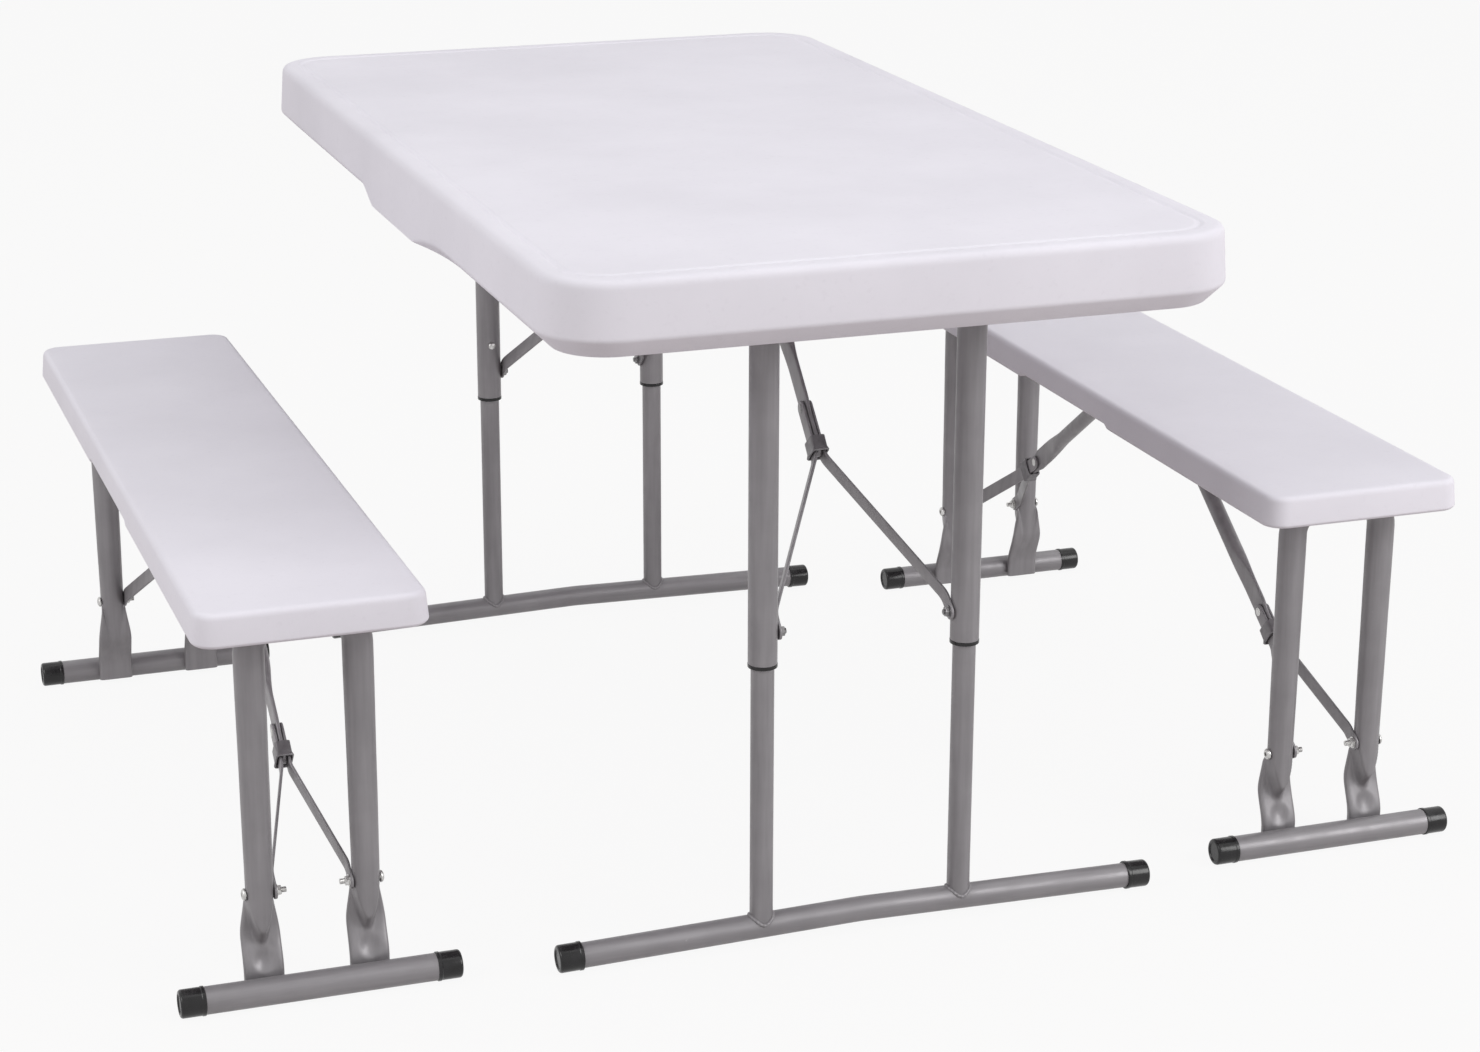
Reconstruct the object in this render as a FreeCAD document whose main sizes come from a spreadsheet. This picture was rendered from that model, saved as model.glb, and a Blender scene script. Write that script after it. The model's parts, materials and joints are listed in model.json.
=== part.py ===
import FreeCAD, Part
import math
import os
import Sketcher
from FreeCAD import Placement, Rotation, Vector

# Folding table with two folding benches, standing as in use.
# X runs across the set, Y along the table and Z up; the origin is on the floor under the table's centre.

doc = FreeCAD.newDocument("beer_table_set")

# Driving dimensions in millimetres
DIMENSIONS = {
    "table_length": 1272, "table_width": 711, "table_height": 740, "table_corner": 72,
    "table_edge_round": 8, "table_depth": 76, "table_panel": 28, "table_rim": 22, "table_bevel": 18,
    "groove_inset": 27, "groove_wide": 3, "groove_deep": 1.2, "skin": 3, "void_inset": 6,
    "hump_far": 120, "hump_flat_far": 63, "hump_flat_near": -120, "hump_near": -255,
    "frame_reach": 520, "leg_spread": 109.7, "hinge_drop": 22, "frame_bend": 45,
    "upper_radius": 15, "upper_bore": 13.6, "upper_end": 308,
    "lower_radius": 12, "lower_bore": 10.6, "lower_top": 384,
    "collar_flange": 15.3, "collar_lip": 4, "collar_length": 34, "collar_fit": 0.05, "slide_gap": 0.08,
    "foot_half": 328, "foot_radius": 13, "foot_bore": 11.6, "foot_rise": 7, "foot_bend": 400,
    "cap_radius": 15, "cap_length": 28, "cap_wall": 4,
    "button_height": 378, "button_radius": 4.4, "button_in": 13.9, "button_out": 17.2, "button_dome": 2,
    "brace_on_leg": 339, "rod_straight": 58, "clip_drop": 46, "strut_round": 9, "strut_flat": 105,
    "strut_half": 6.2, "strut_deep": 15, "strut_end_flat": 28, "strut_past_clip": 14,
    "rod_gap": 6.6, "rod_thick": 2.4, "rod_wide": 14, "rod_tab": 18, "leg_gap": 0.4,
    "rivet_radius": 3, "rivet_head": 5.5, "rivet_head_thick": 1, "bolt_radius": 4, "bolt_gap": 0.06,
    "bolt_head": 8, "bolt_head_thick": 4.5, "nut_radius": 7.5, "nut_thick": 5, "bolt_tip": 3,
    "clip_length": 20, "clip_inner": 10.2, "clip_wall": 1.6, "clip_seat": 8, "clip_lip": 4.4,
    "bracket_wall": 3, "bracket_wide": 26, "bracket_flange": 36, "bracket_plate": 3.5, "bracket_spread": 35,
    "ear_inner": 6.8, "ear_thick": 2.5, "ear_half": 11, "ear_drop": 8,
    "strut_plate": 20, "strut_plate_half": 14,
    "pin_radius": 3, "pin_gap": 0.08, "pin_head": 4.5, "pin_head_thick": 1.5,
    "screw_radius": 2, "screw_head": 4.2, "screw_head_thick": 2.6, "screw_deep": 11, "screw_edge": 8,
    "kiss_radius": 12,
    "bench_length": 1040, "bench_width": 231, "bench_height": 425, "bench_corner": 24,
    "bench_edge_round": 7, "bench_depth": 34, "bench_panel": 18, "bench_rim": 22, "bench_bevel": 3,
    "notch_half": 115, "notch_rise": 4.5, "notch_slope": 10, "bench_offset": 564, "bench_shift": -14,
    "bench_foot_reach": 482, "bench_foot_half": 142, "bench_foot_radius": 14, "bench_foot_bore": 12.6,
    "bench_leg_spread": 53.4, "bench_leg_radius": 13.5, "bench_leg_bore": 12.1, "bench_leg_inset": 24,
    "bench_bend": 30, "bench_hinge_drop": 15, "bench_brace_on_leg": 111, "bench_strut_foot": 60,
    "bench_rod_straight": 46, "bench_clip_drop": 28, "bench_strut_round": 8.5,
    "tail_half": 20, "tail_thick": 9, "tail_top": 48, "tail_start": 88, "tail_bottom": 4,
}
sheet = doc.addObject("Spreadsheet::Sheet", "Sizes")
for row, (alias, value) in enumerate(DIMENSIONS.items(), start=1):
    sheet.set(f"A{row}", alias)
    sheet.set(f"B{row}", str(value))
    sheet.setAlias(f"B{row}", alias)
doc.recompute()


def mm(text):
    """Value of a size, or of a sum of sizes written with the sheet's aliases."""
    return float(sheet.evalExpression(text))


# Levels and lengths that follow from the driving dimensions
TABLE_BOTTOM = mm("table_height - table_depth")
TABLE_CEILING = mm("table_height - table_panel")
TABLE_HINGE = TABLE_CEILING - mm("hinge_drop")
TABLE_LEG_Y = -mm("frame_reach")
TABLE_STRUT_Y = TABLE_LEG_Y + TABLE_HINGE - mm("brace_on_leg")
BENCH_BOTTOM = mm("bench_height - bench_depth")
BENCH_CEILING = mm("bench_height - bench_panel")
BENCH_HINGE = BENCH_CEILING - mm("bench_hinge_drop")
BENCH_LEG_Y = -mm("bench_foot_reach - bench_leg_inset")
BENCH_STRUT_Y = -mm("bench_strut_foot")
ACROSS = Rotation(Vector(0, 1, 0), 90)
ALONG = Rotation(Vector(1, 0, 0), -90)
UPRIGHT_SKETCH = Rotation(Vector(1, 0, 0), 90)
HALF_TURN = Rotation(Vector(0, 0, 1), 180)
SIDES = {"left": -1, "right": 1}
nodes = []


def bound(kind, name, base=(0, 0, 0), turn=Rotation(), **sizes):
    """Add a primitive whose sizes follow the sheet, at a place."""
    item = doc.addObject(kind, name)
    for prop, text in sizes.items():
        item.setExpression(prop, on_sheet(text))
    item.Placement = Placement(Vector(*base), turn)
    return item


def on_sheet(text):
    """Write an expression of aliases so that other objects can use it."""
    words = str(text).replace("(", " ( ").replace(")", " ) ").split()
    return " ".join("Sizes." + word if word in DIMENSIONS else word for word in words)


def cylinder(name, radius, length, base, turn=Rotation()):
    return bound("Part::Cylinder", name, base, turn, Radius=radius, Height=length)


def block(name, low, high):
    """Box between two corners."""
    length, width, height = (b - a for a, b in zip(low, high))
    return bound("Part::Box", name, low, Length=length, Width=width, Height=height)


def fuse(name, items):
    item = doc.addObject("Part::MultiFuse", name)
    item.Shapes = items
    item.Refine = True
    return item


def group(name, items, placement=Placement()):
    item = doc.addObject("Part::Compound", name)
    item.Links = items
    item.Placement = placement
    return item


def cut(name, base, tools):
    item = doc.addObject("Part::Cut", name)
    item.Base = base
    item.Tool = tools[0] if len(tools) == 1 else group(name + "_tools", tools)
    return item


def node(label, items, placement=Placement()):
    """Named sub-part, placed as a whole."""
    item = group(label, items, placement)
    item.Label = label
    nodes.append(item)
    return item


def rounded_loop(sketch, width, length, corner):
    """Rounded rectangle about the sketch origin, constrained and bound to the sheet."""
    half_x, half_y, radius = mm(width) / 2, mm(length) / 2, mm(corner)
    first = sketch.GeometryCount
    ends = [Vector(radius, 0, 0), Vector(0, radius, 0), Vector(-radius, 0, 0), Vector(0, -radius, 0)]
    signs = [(1, -1), (1, 1), (-1, 1), (-1, -1)]
    centres = [Vector(sx * (half_x - radius), sy * (half_y - radius), 0) for sx, sy in signs]
    for index in range(4):
        start = math.radians(90 * index - 90)
        circle = Part.Circle(centres[index], Vector(0, 0, 1), radius)
        sketch.addGeometry(Part.ArcOfCircle(circle, start, start + math.pi / 2))
        following = centres[(index + 1) % 4]
        sketch.addGeometry(Part.LineSegment(centres[index] + ends[index], following + ends[index]))
    for index in range(4):
        arc = first + 2 * index
        line = arc + 1
        after = first + (2 * index + 2) % 8
        sketch.addConstraint(Sketcher.Constraint("Tangent", arc, 2, line, 1))
        sketch.addConstraint(Sketcher.Constraint("Tangent", line, 2, after, 1))
        sketch.addConstraint(Sketcher.Constraint("Horizontal" if index % 2 else "Vertical", line))
    for other in (2, 4, 6):
        sketch.addConstraint(Sketcher.Constraint("Equal", first, first + other))
    sketch.addConstraint(Sketcher.Constraint("Symmetric", first, 3, first + 4, 3, -1, 1))
    for constraint, text in (
        (Sketcher.Constraint("Radius", first, radius), corner),
        (Sketcher.Constraint("DistanceX", first + 5, 1, first + 1, 1, 2 * half_x), width),
        (Sketcher.Constraint("DistanceY", first + 7, 1, first + 3, 1, 2 * half_y), length),
    ):
        number = sketch.addConstraint(constraint)
        sketch.setExpression(f"Constraints[{number}]", on_sheet(text))


def level_sketch(body, name, height, loops):
    """Sketch of rounded rectangles on the body's own ground plane, lifted to a height."""
    sketch = body.newObject("Sketcher::SketchObject", name)
    plane = next(item for item in body.Origin.OriginFeatures if item.Role == "XY_Plane")
    sketch.AttachmentSupport = (plane, [""])
    sketch.MapMode = "FlatFace"
    sketch.setExpression("AttachmentOffset.Base.z", on_sheet(height))
    for width, length, corner in loops:
        rounded_loop(sketch, width, length, corner)
    return sketch


def pad(body, name, sketch, length):
    item = body.newObject("PartDesign::Pad", name)
    item.Profile = sketch
    item.setExpression("Length", on_sheet(length))
    return item


def pocket(body, name, sketch, length, upward):
    item = body.newObject("PartDesign::Pocket", name)
    item.Profile = sketch
    item.setExpression("Length", on_sheet(length))
    item.Reversed = upward
    return item


def edges_at(feature, height):
    """Names of the feature's edges that lie flat at a height."""
    names = []
    for number, edge in enumerate(feature.Shape.Edges, start=1):
        box = edge.BoundBox
        if abs(box.ZMin - height) < 0.01 and abs(box.ZMax - height) < 0.01:
            names.append(f"Edge{number}")
    return names


def dressed(body, kind, name, feature, height, prop, size):
    """Round or bevel all edges of a feature at one height."""
    doc.recompute()
    item = body.newObject(kind, name)
    item.Base = (feature, edges_at(feature, height))
    item.setExpression(prop, size)
    return item


def moulded_top(name, prefix, bottom, rim):
    """Blow-moulded top: rounded upper edge, bevelled lower edge and a tray underneath."""
    width, length, corner = f"{prefix}_width", f"{prefix}_length", f"{prefix}_corner"
    body = doc.addObject("PartDesign::Body", name)
    underside = f"{prefix}_height - {prefix}_depth"
    outline = level_sketch(body, name + "_outline", underside, [(width, length, corner)])
    slab = pad(body, name + "_slab", outline, f"{prefix}_depth")
    rounded = dressed(body, "PartDesign::Fillet", name + "_round", slab, mm(f"{prefix}_height"),
                      "Radius", f"Sizes.{prefix}_edge_round")
    bevelled = dressed(body, "PartDesign::Chamfer", name + "_bevel", rounded, bottom,
                       "Size", f"Sizes.{prefix}_bevel")
    tray = level_sketch(body, name + "_tray_outline", underside,
                        [(f"{width} - 2 * {rim}", f"{length} - 2 * {rim}", f"{corner} - {rim} / 2")])
    pocket(body, name + "_tray", tray, f"{prefix}_depth - {prefix}_panel", upward=True)
    return body


def hollow_space(name, prefix, spots):
    """Air space inside the panel and its rim, with solid columns where the screws bite."""
    body = doc.addObject("PartDesign::Body", name)
    outline = level_sketch(body, name + "_outline", f"{prefix}_height - {prefix}_panel + skin",
                           [(f"{prefix}_width - 2 * void_inset", f"{prefix}_length - 2 * void_inset",
                             f"{prefix}_corner - void_inset")])
    pad(body, name + "_air", outline, f"{prefix}_panel - 2 * skin")
    rim = f"2 * ({prefix}_rim - skin)"
    outer_loop = (f"{prefix}_width - 2 * void_inset", f"{prefix}_length - 2 * void_inset",
                  f"{prefix}_corner - void_inset")
    inner_loop = (f"{prefix}_width - {rim}", f"{prefix}_length - {rim}", f"{prefix}_corner - {rim} / 2")
    rim_floor = f"{prefix}_height - {prefix}_depth + {prefix}_bevel + skin"
    ring = level_sketch(body, name + "_rim_outline", rim_floor, [outer_loop, inner_loop])
    pad(body, name + "_rim_air", ring, f"{prefix}_depth - {prefix}_panel - {prefix}_bevel + skin")
    floor = mm(f"{prefix}_height - {prefix}_panel")
    columns = [cylinder(f"{name}_column_{number}", "kiss_radius", f"{prefix}_panel", (x, y, floor))
               for number, (x, y) in enumerate(spots)]
    return cut(name + "_space", body, columns)


def low_end(sign, near, far):
    """Lower end of a span that lies on the left (-1) or right (+1) side."""
    return min(sign * near, sign * far)


def leg_bracket(name, x, y, hinge, ceiling, radius):
    """Bearing that carries the bar of a leg frame under the top."""
    half = mm("bracket_wide") / 2
    outer = mm(radius) + mm("bracket_wall")
    flange = mm("bracket_flange")
    start = (x - half, y, hinge)
    barrel = cylinder(name + "_barrel", f"{radius} + bracket_wall", "bracket_wide", start, ACROSS)
    neck = block(name + "_neck", (x - half, y - outer, hinge), (x + half, y + outer, ceiling))
    plate_low = ceiling - mm("bracket_plate")
    plate = block(name + "_plate", (x - half, y - flange, plate_low), (x + half, y + flange, ceiling))
    bore = cylinder(name + "_bore", f"{radius} + slide_gap", "bracket_wide", start, ACROSS)
    above = block(name + "_above", (x - half, y - flange, ceiling), (x + half, y + flange, ceiling + outer))
    holes = [cylinder(f"{name}_hole_{side}", "screw_radius + slide_gap", "bracket_plate",
                      (x, y + sign * (flange - mm("screw_edge")), plate_low))
             for side, sign in SIDES.items()]
    return cut(name, fuse(name + "_solid", [barrel, neck, plate]), [bore, above] + holes)


def strut_bracket(name, y, hinge, ceiling):
    """Two-eared bracket that carries the upper end of a strut."""
    plate_x, plate_y, plate_z = mm("strut_plate"), mm("strut_plate_half"), mm("bracket_plate")
    inner, outer, half = mm("ear_inner"), mm("ear_inner + ear_thick"), mm("ear_half")
    plate_low = ceiling - plate_z
    plate = block(name + "_plate", (-plate_x, y - plate_y, plate_low), (plate_x, y + plate_y, ceiling))
    low = hinge - mm("ear_drop")
    left_ear = block(name + "_left_ear", (-outer, y - half, low), (-inner, y + half, ceiling))
    right_ear = block(name + "_right_ear", (inner, y - half, low), (outer, y + half, ceiling))
    holes = [cylinder(f"{name}_hole_{side}", "screw_radius + slide_gap", "bracket_plate",
                      (sign * plate_y, y, plate_low)) for side, sign in SIDES.items()]
    eye = cylinder(name + "_eye", "pin_radius", 4 * outer, (-2 * outer, y, hinge), ACROSS)
    return cut(name, fuse(name + "_solid", [plate, left_ear, right_ear]), holes + [eye])


def hinge_pin(name, y, hinge):
    """Riveted pin through a strut bracket."""
    half = mm("ear_inner + ear_thick")
    head = mm("pin_head_thick")
    shank = cylinder(name + "_shank", "pin_radius", 2 * half, (-half, y, hinge), ACROSS)
    heads = [cylinder(f"{name}_{side}_head", "pin_head", "pin_head_thick",
                      (low_end(sign, half, half + head), y, hinge), ACROSS) for side, sign in SIDES.items()]
    return fuse(name, [shank] + heads)


def screw(name, x, y, ceiling):
    """Pan-head screw driven up into the top."""
    seat = ceiling - mm("bracket_plate")
    head = cylinder(name + "_head", "screw_head", "screw_head_thick", (x, y, seat - mm("screw_head_thick")))
    shank = cylinder(name + "_shank", "screw_radius", "bracket_plate + screw_deep", (x, y, seat))
    return fuse(name, [head, shank])


def bracket_spots(leg_xs, leg_y, strut_y):
    """Screw places of one leg frame: two beside each leg bracket and two on the strut bracket."""
    reach = mm("bracket_flange - screw_edge")
    spots = [(x, leg_y + sign * reach) for x in leg_xs for sign in SIDES.values()]
    return spots + [(sign * mm("strut_plate_half"), strut_y) for sign in SIDES.values()]


def sweep(name, spine, radius, base, turn=Rotation()):
    """Round bar along a sketched path."""
    ring = bound("Part::Circle", name + "_section", base, turn, Radius=radius)
    item = doc.addObject("Part::Sweep", name)
    item.Sections = [ring]
    item.Spine = (spine, [])
    item.Solid = True
    return item


def u_path(name, half, y, low, high, bend):
    """Upside-down U in an upright plane."""
    sketch = doc.addObject("Sketcher::SketchObject", name)
    sketch.Placement = Placement(Vector(0, y, 0), UPRIGHT_SKETCH)
    shoulder = high - bend
    inner = half - bend
    left = Part.Circle(Vector(-inner, shoulder, 0), Vector(0, 0, 1), bend)
    right = Part.Circle(Vector(inner, shoulder, 0), Vector(0, 0, 1), bend)
    sketch.addGeometry(Part.LineSegment(Vector(-half, low, 0), Vector(-half, shoulder, 0)))
    sketch.addGeometry(Part.ArcOfCircle(left, math.pi / 2, math.pi))
    sketch.addGeometry(Part.LineSegment(Vector(-inner, high, 0), Vector(inner, high, 0)))
    sketch.addGeometry(Part.ArcOfCircle(right, 0, math.pi / 2))
    sketch.addGeometry(Part.LineSegment(Vector(half, shoulder, 0), Vector(half, low, 0)))
    return sketch


def foot_path(name, y, angle):
    """Shallow roof line of the table's foot bar: two straight halves and a bend in the middle."""
    sketch = doc.addObject("Sketcher::SketchObject", name)
    sketch.Placement = Placement(Vector(0, y, 0), UPRIGHT_SKETCH)
    end = mm("foot_half - cap_wall")
    low = mm("cap_radius") + mm("cap_wall") * math.tan(angle)
    peak = mm("cap_radius + foot_rise")
    bend = mm("foot_bend")
    tangent = bend * math.tan(angle) * math.cos(angle)
    joint = peak - tangent * math.tan(angle)
    arc = Part.Circle(Vector(0, peak - bend / math.cos(angle), 0), Vector(0, 0, 1), bend)
    sketch.addGeometry(Part.LineSegment(Vector(-end, low, 0), Vector(-tangent, joint, 0)))
    sketch.addGeometry(Part.ArcOfCircle(arc, math.pi / 2 - angle, math.pi / 2 + angle))
    sketch.addGeometry(Part.LineSegment(Vector(tangent, joint, 0), Vector(end, low, 0)))
    return sketch, Vector(-end, y, low)


def end_cap(name, base, direction, fit):
    """Cup over the end of a foot tube."""
    turn = Rotation(Vector(0, 0, 1), direction)
    start = Vector(*base)
    cup = cylinder(name + "_cup", "cap_radius", "cap_length", start, turn)
    room = cylinder(name + "_room", fit, "cap_length", start + direction * mm("cap_wall"), turn)
    hollow = cut(name + "_hollow", cup, [room])
    doc.recompute()
    rounded = doc.addObject("Part::Fillet", name)
    rounded.Base = hollow
    rim = [number for number, edge in enumerate(hollow.Shape.Edges, start=1)
           if edge.CenterOfMass.distanceToPoint(start) < 0.1 and edge.isClosed()]
    rounded.Edges = [(number, 3, 3) for number in rim]
    return rounded


class Brace:
    """Folding brace in its own frame: Y runs from the leg to the top, Z towards the frame's hinge."""

    def __init__(self, name, leg_y, leg_z, strut_y, hinge, tab, straight, drop, round_radius):
        self.name = name
        rise = hinge - leg_z
        run = strut_y - leg_y
        self.length = math.hypot(rise, run)
        self.lower = (self.length - run + rise) / 2
        self.tab = tab
        self.straight = mm(straight)
        self.drop = mm(drop)
        self.round_radius = round_radius
        tilt = math.degrees(math.atan2(rise, run))
        self.placement = Placement(Vector(0, leg_y, leg_z), Rotation(Vector(1, 0, 0), tilt))

    def bar_across(self, name, radius, low, high, along):
        return cylinder(f"{self.name}_{name}", radius, high - low, (low, along, 0), ACROSS)

    def rod(self, side, sign):
        """Flat bar from one leg to the middle joint."""
        gap, thick, joint = mm("rod_gap"), mm("rod_thick"), self.lower
        inner = self.tab - thick
        half_line = [(inner, 0), (inner, mm("rod_tab")), (gap, joint - self.straight), (gap, joint)]
        outline = half_line + [(x + thick, along) for x, along in reversed(half_line)]
        points = [Vector(sign * x, along, 0) for x, along in outline]
        sketch = doc.addObject("Sketcher::SketchObject", f"{self.name}_{side}_rod_outline")
        for start, end in zip(points, points[1:] + points[:1]):
            sketch.addGeometry(Part.LineSegment(start, end))
        bar = bound("Part::Extrusion", f"{self.name}_{side}_rod_bar", LengthFwd="rod_wide")
        bar.Base = sketch
        bar.DirMode = "Custom"
        bar.Dir = Vector(0, 0, 1)
        bar.Symmetric = True
        bar.Solid = True
        low_tab = low_end(sign, inner, self.tab)
        low_joint = low_end(sign, gap, gap + thick)
        ends = [self.bar_across(f"{side}_leg_end", "rod_wide / 2", low_tab, low_tab + thick, 0),
                self.bar_across(f"{side}_joint_end", "rod_wide / 2", low_joint, low_joint + thick, joint)]
        holes = [self.bar_across(f"{side}_bolt_hole", "bolt_radius", low_tab, low_tab + thick, 0),
                 self.bar_across(f"{side}_rivet_hole", "rivet_radius", low_joint, low_joint + thick, joint)]
        return cut(f"{self.name}_{side}_rod", fuse(f"{self.name}_{side}_rod_solid", [bar] + ends), holes)

    def strut(self):
        """Tube from the middle joint to the top, pressed flat at both ends."""
        half, deep = mm("strut_half"), mm("strut_deep") / 2
        tongue = self.lower - self.drop - mm("strut_past_clip")
        flat_end = self.lower + mm("strut_flat")
        end_flat = self.length - mm("strut_end_flat")
        flat = block(self.name + "_flat", (-half, tongue, -deep), (half, flat_end, deep))
        tube_start = flat_end - deep
        tube_length = end_flat + deep - tube_start
        tube = cylinder(self.name + "_tube", self.round_radius, tube_length, (0, tube_start, 0), ALONG)
        top_flat = block(self.name + "_top_flat", (-half, end_flat, -deep), (half, self.length, deep))
        top_end = self.bar_across("top_end", "strut_deep / 2", -half, half, self.length)
        tongue_end = self.bar_across("tongue_end", "strut_deep / 2", -half, half, tongue)
        holes = [self.bar_across("joint_hole", "rivet_radius", -half, half, self.lower),
                 self.bar_across("pin_hole", "pin_radius + pin_gap", -half, half, self.length)]
        solid = fuse(self.name + "_strut_solid", [flat, tube, top_flat, top_end, tongue_end])
        return cut(self.name + "_strut", solid, holes)

    def clip(self):
        """Sheet-metal lock that holds rods and strut in line."""
        seat, lip, inner = mm("clip_seat"), mm("clip_lip"), mm("clip_inner")
        outer = mm("clip_inner + clip_wall")
        top = mm("clip_seat + clip_wall")
        low = self.lower - self.drop - mm("clip_length") / 2
        high = low + mm("clip_length")
        web = block(self.name + "_web", (-outer, low, seat), (outer, high, top))
        left = block(self.name + "_left_lip", (-outer, low, lip), (-inner, high, top))
        right = block(self.name + "_right_lip", (inner, low, lip), (outer, high, top))
        return fuse(self.name + "_clip", [web, left, right])

    def nut(self, side, sign):
        """Hexagon nut on the inner side of a rod's leg end."""
        face = self.tab - mm("rod_thick")
        low = low_end(sign, face, face - mm("nut_thick"))
        hexagon = bound("Part::Prism", f"{self.name}_{side}_nut_hex", (low, 0, 0), ACROSS,
                        Circumradius="nut_radius", Height="nut_thick")
        thread = self.bar_across(f"{side}_nut_thread", "bolt_radius", low, low + mm("nut_thick"), 0)
        return cut(f"{self.name}_{side}_nut", hexagon, [thread])

    def bolt(self, side, sign, end, head):
        """Pivot bolt of a rod; with a head where it passes right through the leg."""
        start = self.tab - mm("rod_thick + nut_thick + bolt_tip")
        low = low_end(sign, start, end)
        shank = self.bar_across(f"{side}_bolt_shank", "bolt_radius", low, low + end - start, 0)
        if not head:
            return shank
        thick = mm("bolt_head_thick")
        head_low = low_end(sign, end, end + thick)
        cap = self.bar_across(f"{side}_bolt_cap", "bolt_head", head_low, head_low + thick, 0)
        return fuse(f"{self.name}_{side}_bolt", [shank, cap])

    def rivet(self, side, sign):
        """Half of the middle joint's rivet, seated in one rod."""
        gap, face = mm("rod_gap"), mm("rod_gap + rod_thick")
        thick = mm("rivet_head_thick")
        low = low_end(sign, gap, face)
        head_low = low_end(sign, face, face + thick)
        shank = self.bar_across(f"{side}_rivet_shank", "rivet_radius", low, low + face - gap, self.lower)
        head = self.bar_across(f"{side}_rivet_head", "rivet_head", head_low, head_low + thick, self.lower)
        return fuse(f"{self.name}_{side}_rivet", [shank, head])

    def parts(self, bolt_end, bolt_head):
        rods = [self.rod(side, sign) for side, sign in SIDES.items()]
        fasteners = []
        for side, sign in SIDES.items():
            fasteners += [self.nut(side, sign), self.rivet(side, sign)]
            fasteners.append(self.bolt(side, sign, bolt_end, bolt_head))
        return {"brace_rods": rods, "brace_strut": [self.strut()], "lock_clip": [self.clip()],
                "brace_fasteners": fasteners}


# Table top with its groove, the deeper middle of both long sides, hollow panel and screw holes
table_body = moulded_top("table_shell", "table", TABLE_BOTTOM, "table_rim")
groove_loops = [(f"table_width - 2 * {inset}", f"table_length - 2 * {inset}", f"table_corner - {inset}")
                for inset in ("groove_inset", "(groove_inset + groove_wide)")]
groove_outline = level_sketch(table_body, "groove_outline", "table_height", groove_loops)
pocket(table_body, "groove", groove_outline, "groove_deep", upward=False)
hump_turn = Rotation(Vector(0, 1, 0), Vector(0, 0, -1), Vector(-1, 0, 0), "XYZ")
humps = []
for side, near, far in (("left", "table_width / 2 - table_bevel", "table_width / 2"),
                        ("right", "0 - table_width / 2", "table_bevel - table_width / 2")):
    humps.append(bound("Part::Wedge", side + "_hump", (0, 0, TABLE_BOTTOM + mm("table_bevel")), hump_turn,
                       Xmin="hump_near", Xmax="hump_far", X2min="hump_flat_near", X2max="hump_flat_far",
                       Ymin="0", Ymax="table_bevel", Zmin=near, Zmax=far, Z2min=near, Z2max=far))
bracket_xs = {side: sign * mm("bracket_spread") for side, sign in SIDES.items()}
front_spots = bracket_spots(bracket_xs.values(), TABLE_LEG_Y, TABLE_STRUT_Y)
table_spots = front_spots + [(-x, -y) for x, y in front_spots]
table_air = hollow_space("table_air", "table", table_spots)
table_holes = [cylinder(f"table_screw_hole_{number}", "screw_radius", "screw_deep", (x, y, TABLE_CEILING))
               for number, (x, y) in enumerate(table_spots)]
table_outer = fuse("table_outer", [table_body] + humps)
node("table_top", [cut("table_finished", cut("table_hollow", table_outer, [table_air]), table_holes)])

# Brackets under the table
front_brackets = []
for side, x in bracket_xs.items():
    front_brackets.append(leg_bracket(f"table_{side}_bracket", x, TABLE_LEG_Y, TABLE_HINGE, TABLE_CEILING,
                                      "upper_radius"))
front_brackets.append(strut_bracket("table_strut_bracket", TABLE_STRUT_Y, TABLE_HINGE, TABLE_CEILING))
rear_brackets = group("rear_brackets", front_brackets, Placement(Vector(), HALF_TURN))
node("table_brackets", front_brackets + [rear_brackets])
front_pin = hinge_pin("table_front_pin", TABLE_STRUT_Y, TABLE_HINGE)
rear_pin = group("table_rear_pin", [front_pin], Placement(Vector(), HALF_TURN))
table_screws = [screw(f"table_screw_{number}", x, y, TABLE_CEILING)
                for number, (x, y) in enumerate(table_spots)]
node("table_bracket_fasteners", table_screws + [front_pin, rear_pin])

# Upper leg frame: one tube bent to a U, drilled for the brace bolts and snap buttons
spread = mm("leg_spread")
frame_path = u_path("frame_path", spread, TABLE_LEG_Y, mm("upper_end"), TABLE_HINGE, mm("frame_bend"))
frame_start = (-spread, TABLE_LEG_Y, mm("upper_end"))
frame_tube = cut("frame_tube", sweep("frame_outside", frame_path, "upper_radius", frame_start),
                 [sweep("frame_inside", frame_path, "upper_bore", frame_start)])
drill = mm("upper_radius")
frame_drills = []
for side, sign in SIDES.items():
    inner_wall = sign * (spread - drill) - drill / 2
    frame_drills.append(cylinder(f"{side}_bolt_drill", "bolt_radius + bolt_gap", drill,
                                 (inner_wall, TABLE_LEG_Y, mm("brace_on_leg")), ACROSS))
    frame_drills.append(cylinder(f"{side}_button_drill", "button_radius + bolt_gap", drill,
                                 (sign * spread, TABLE_LEG_Y + drill / 2, mm("button_height")), ALONG))
table_frame = {"upper_frame": [cut("upper_frame_form", frame_tube, frame_drills)]}

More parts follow.
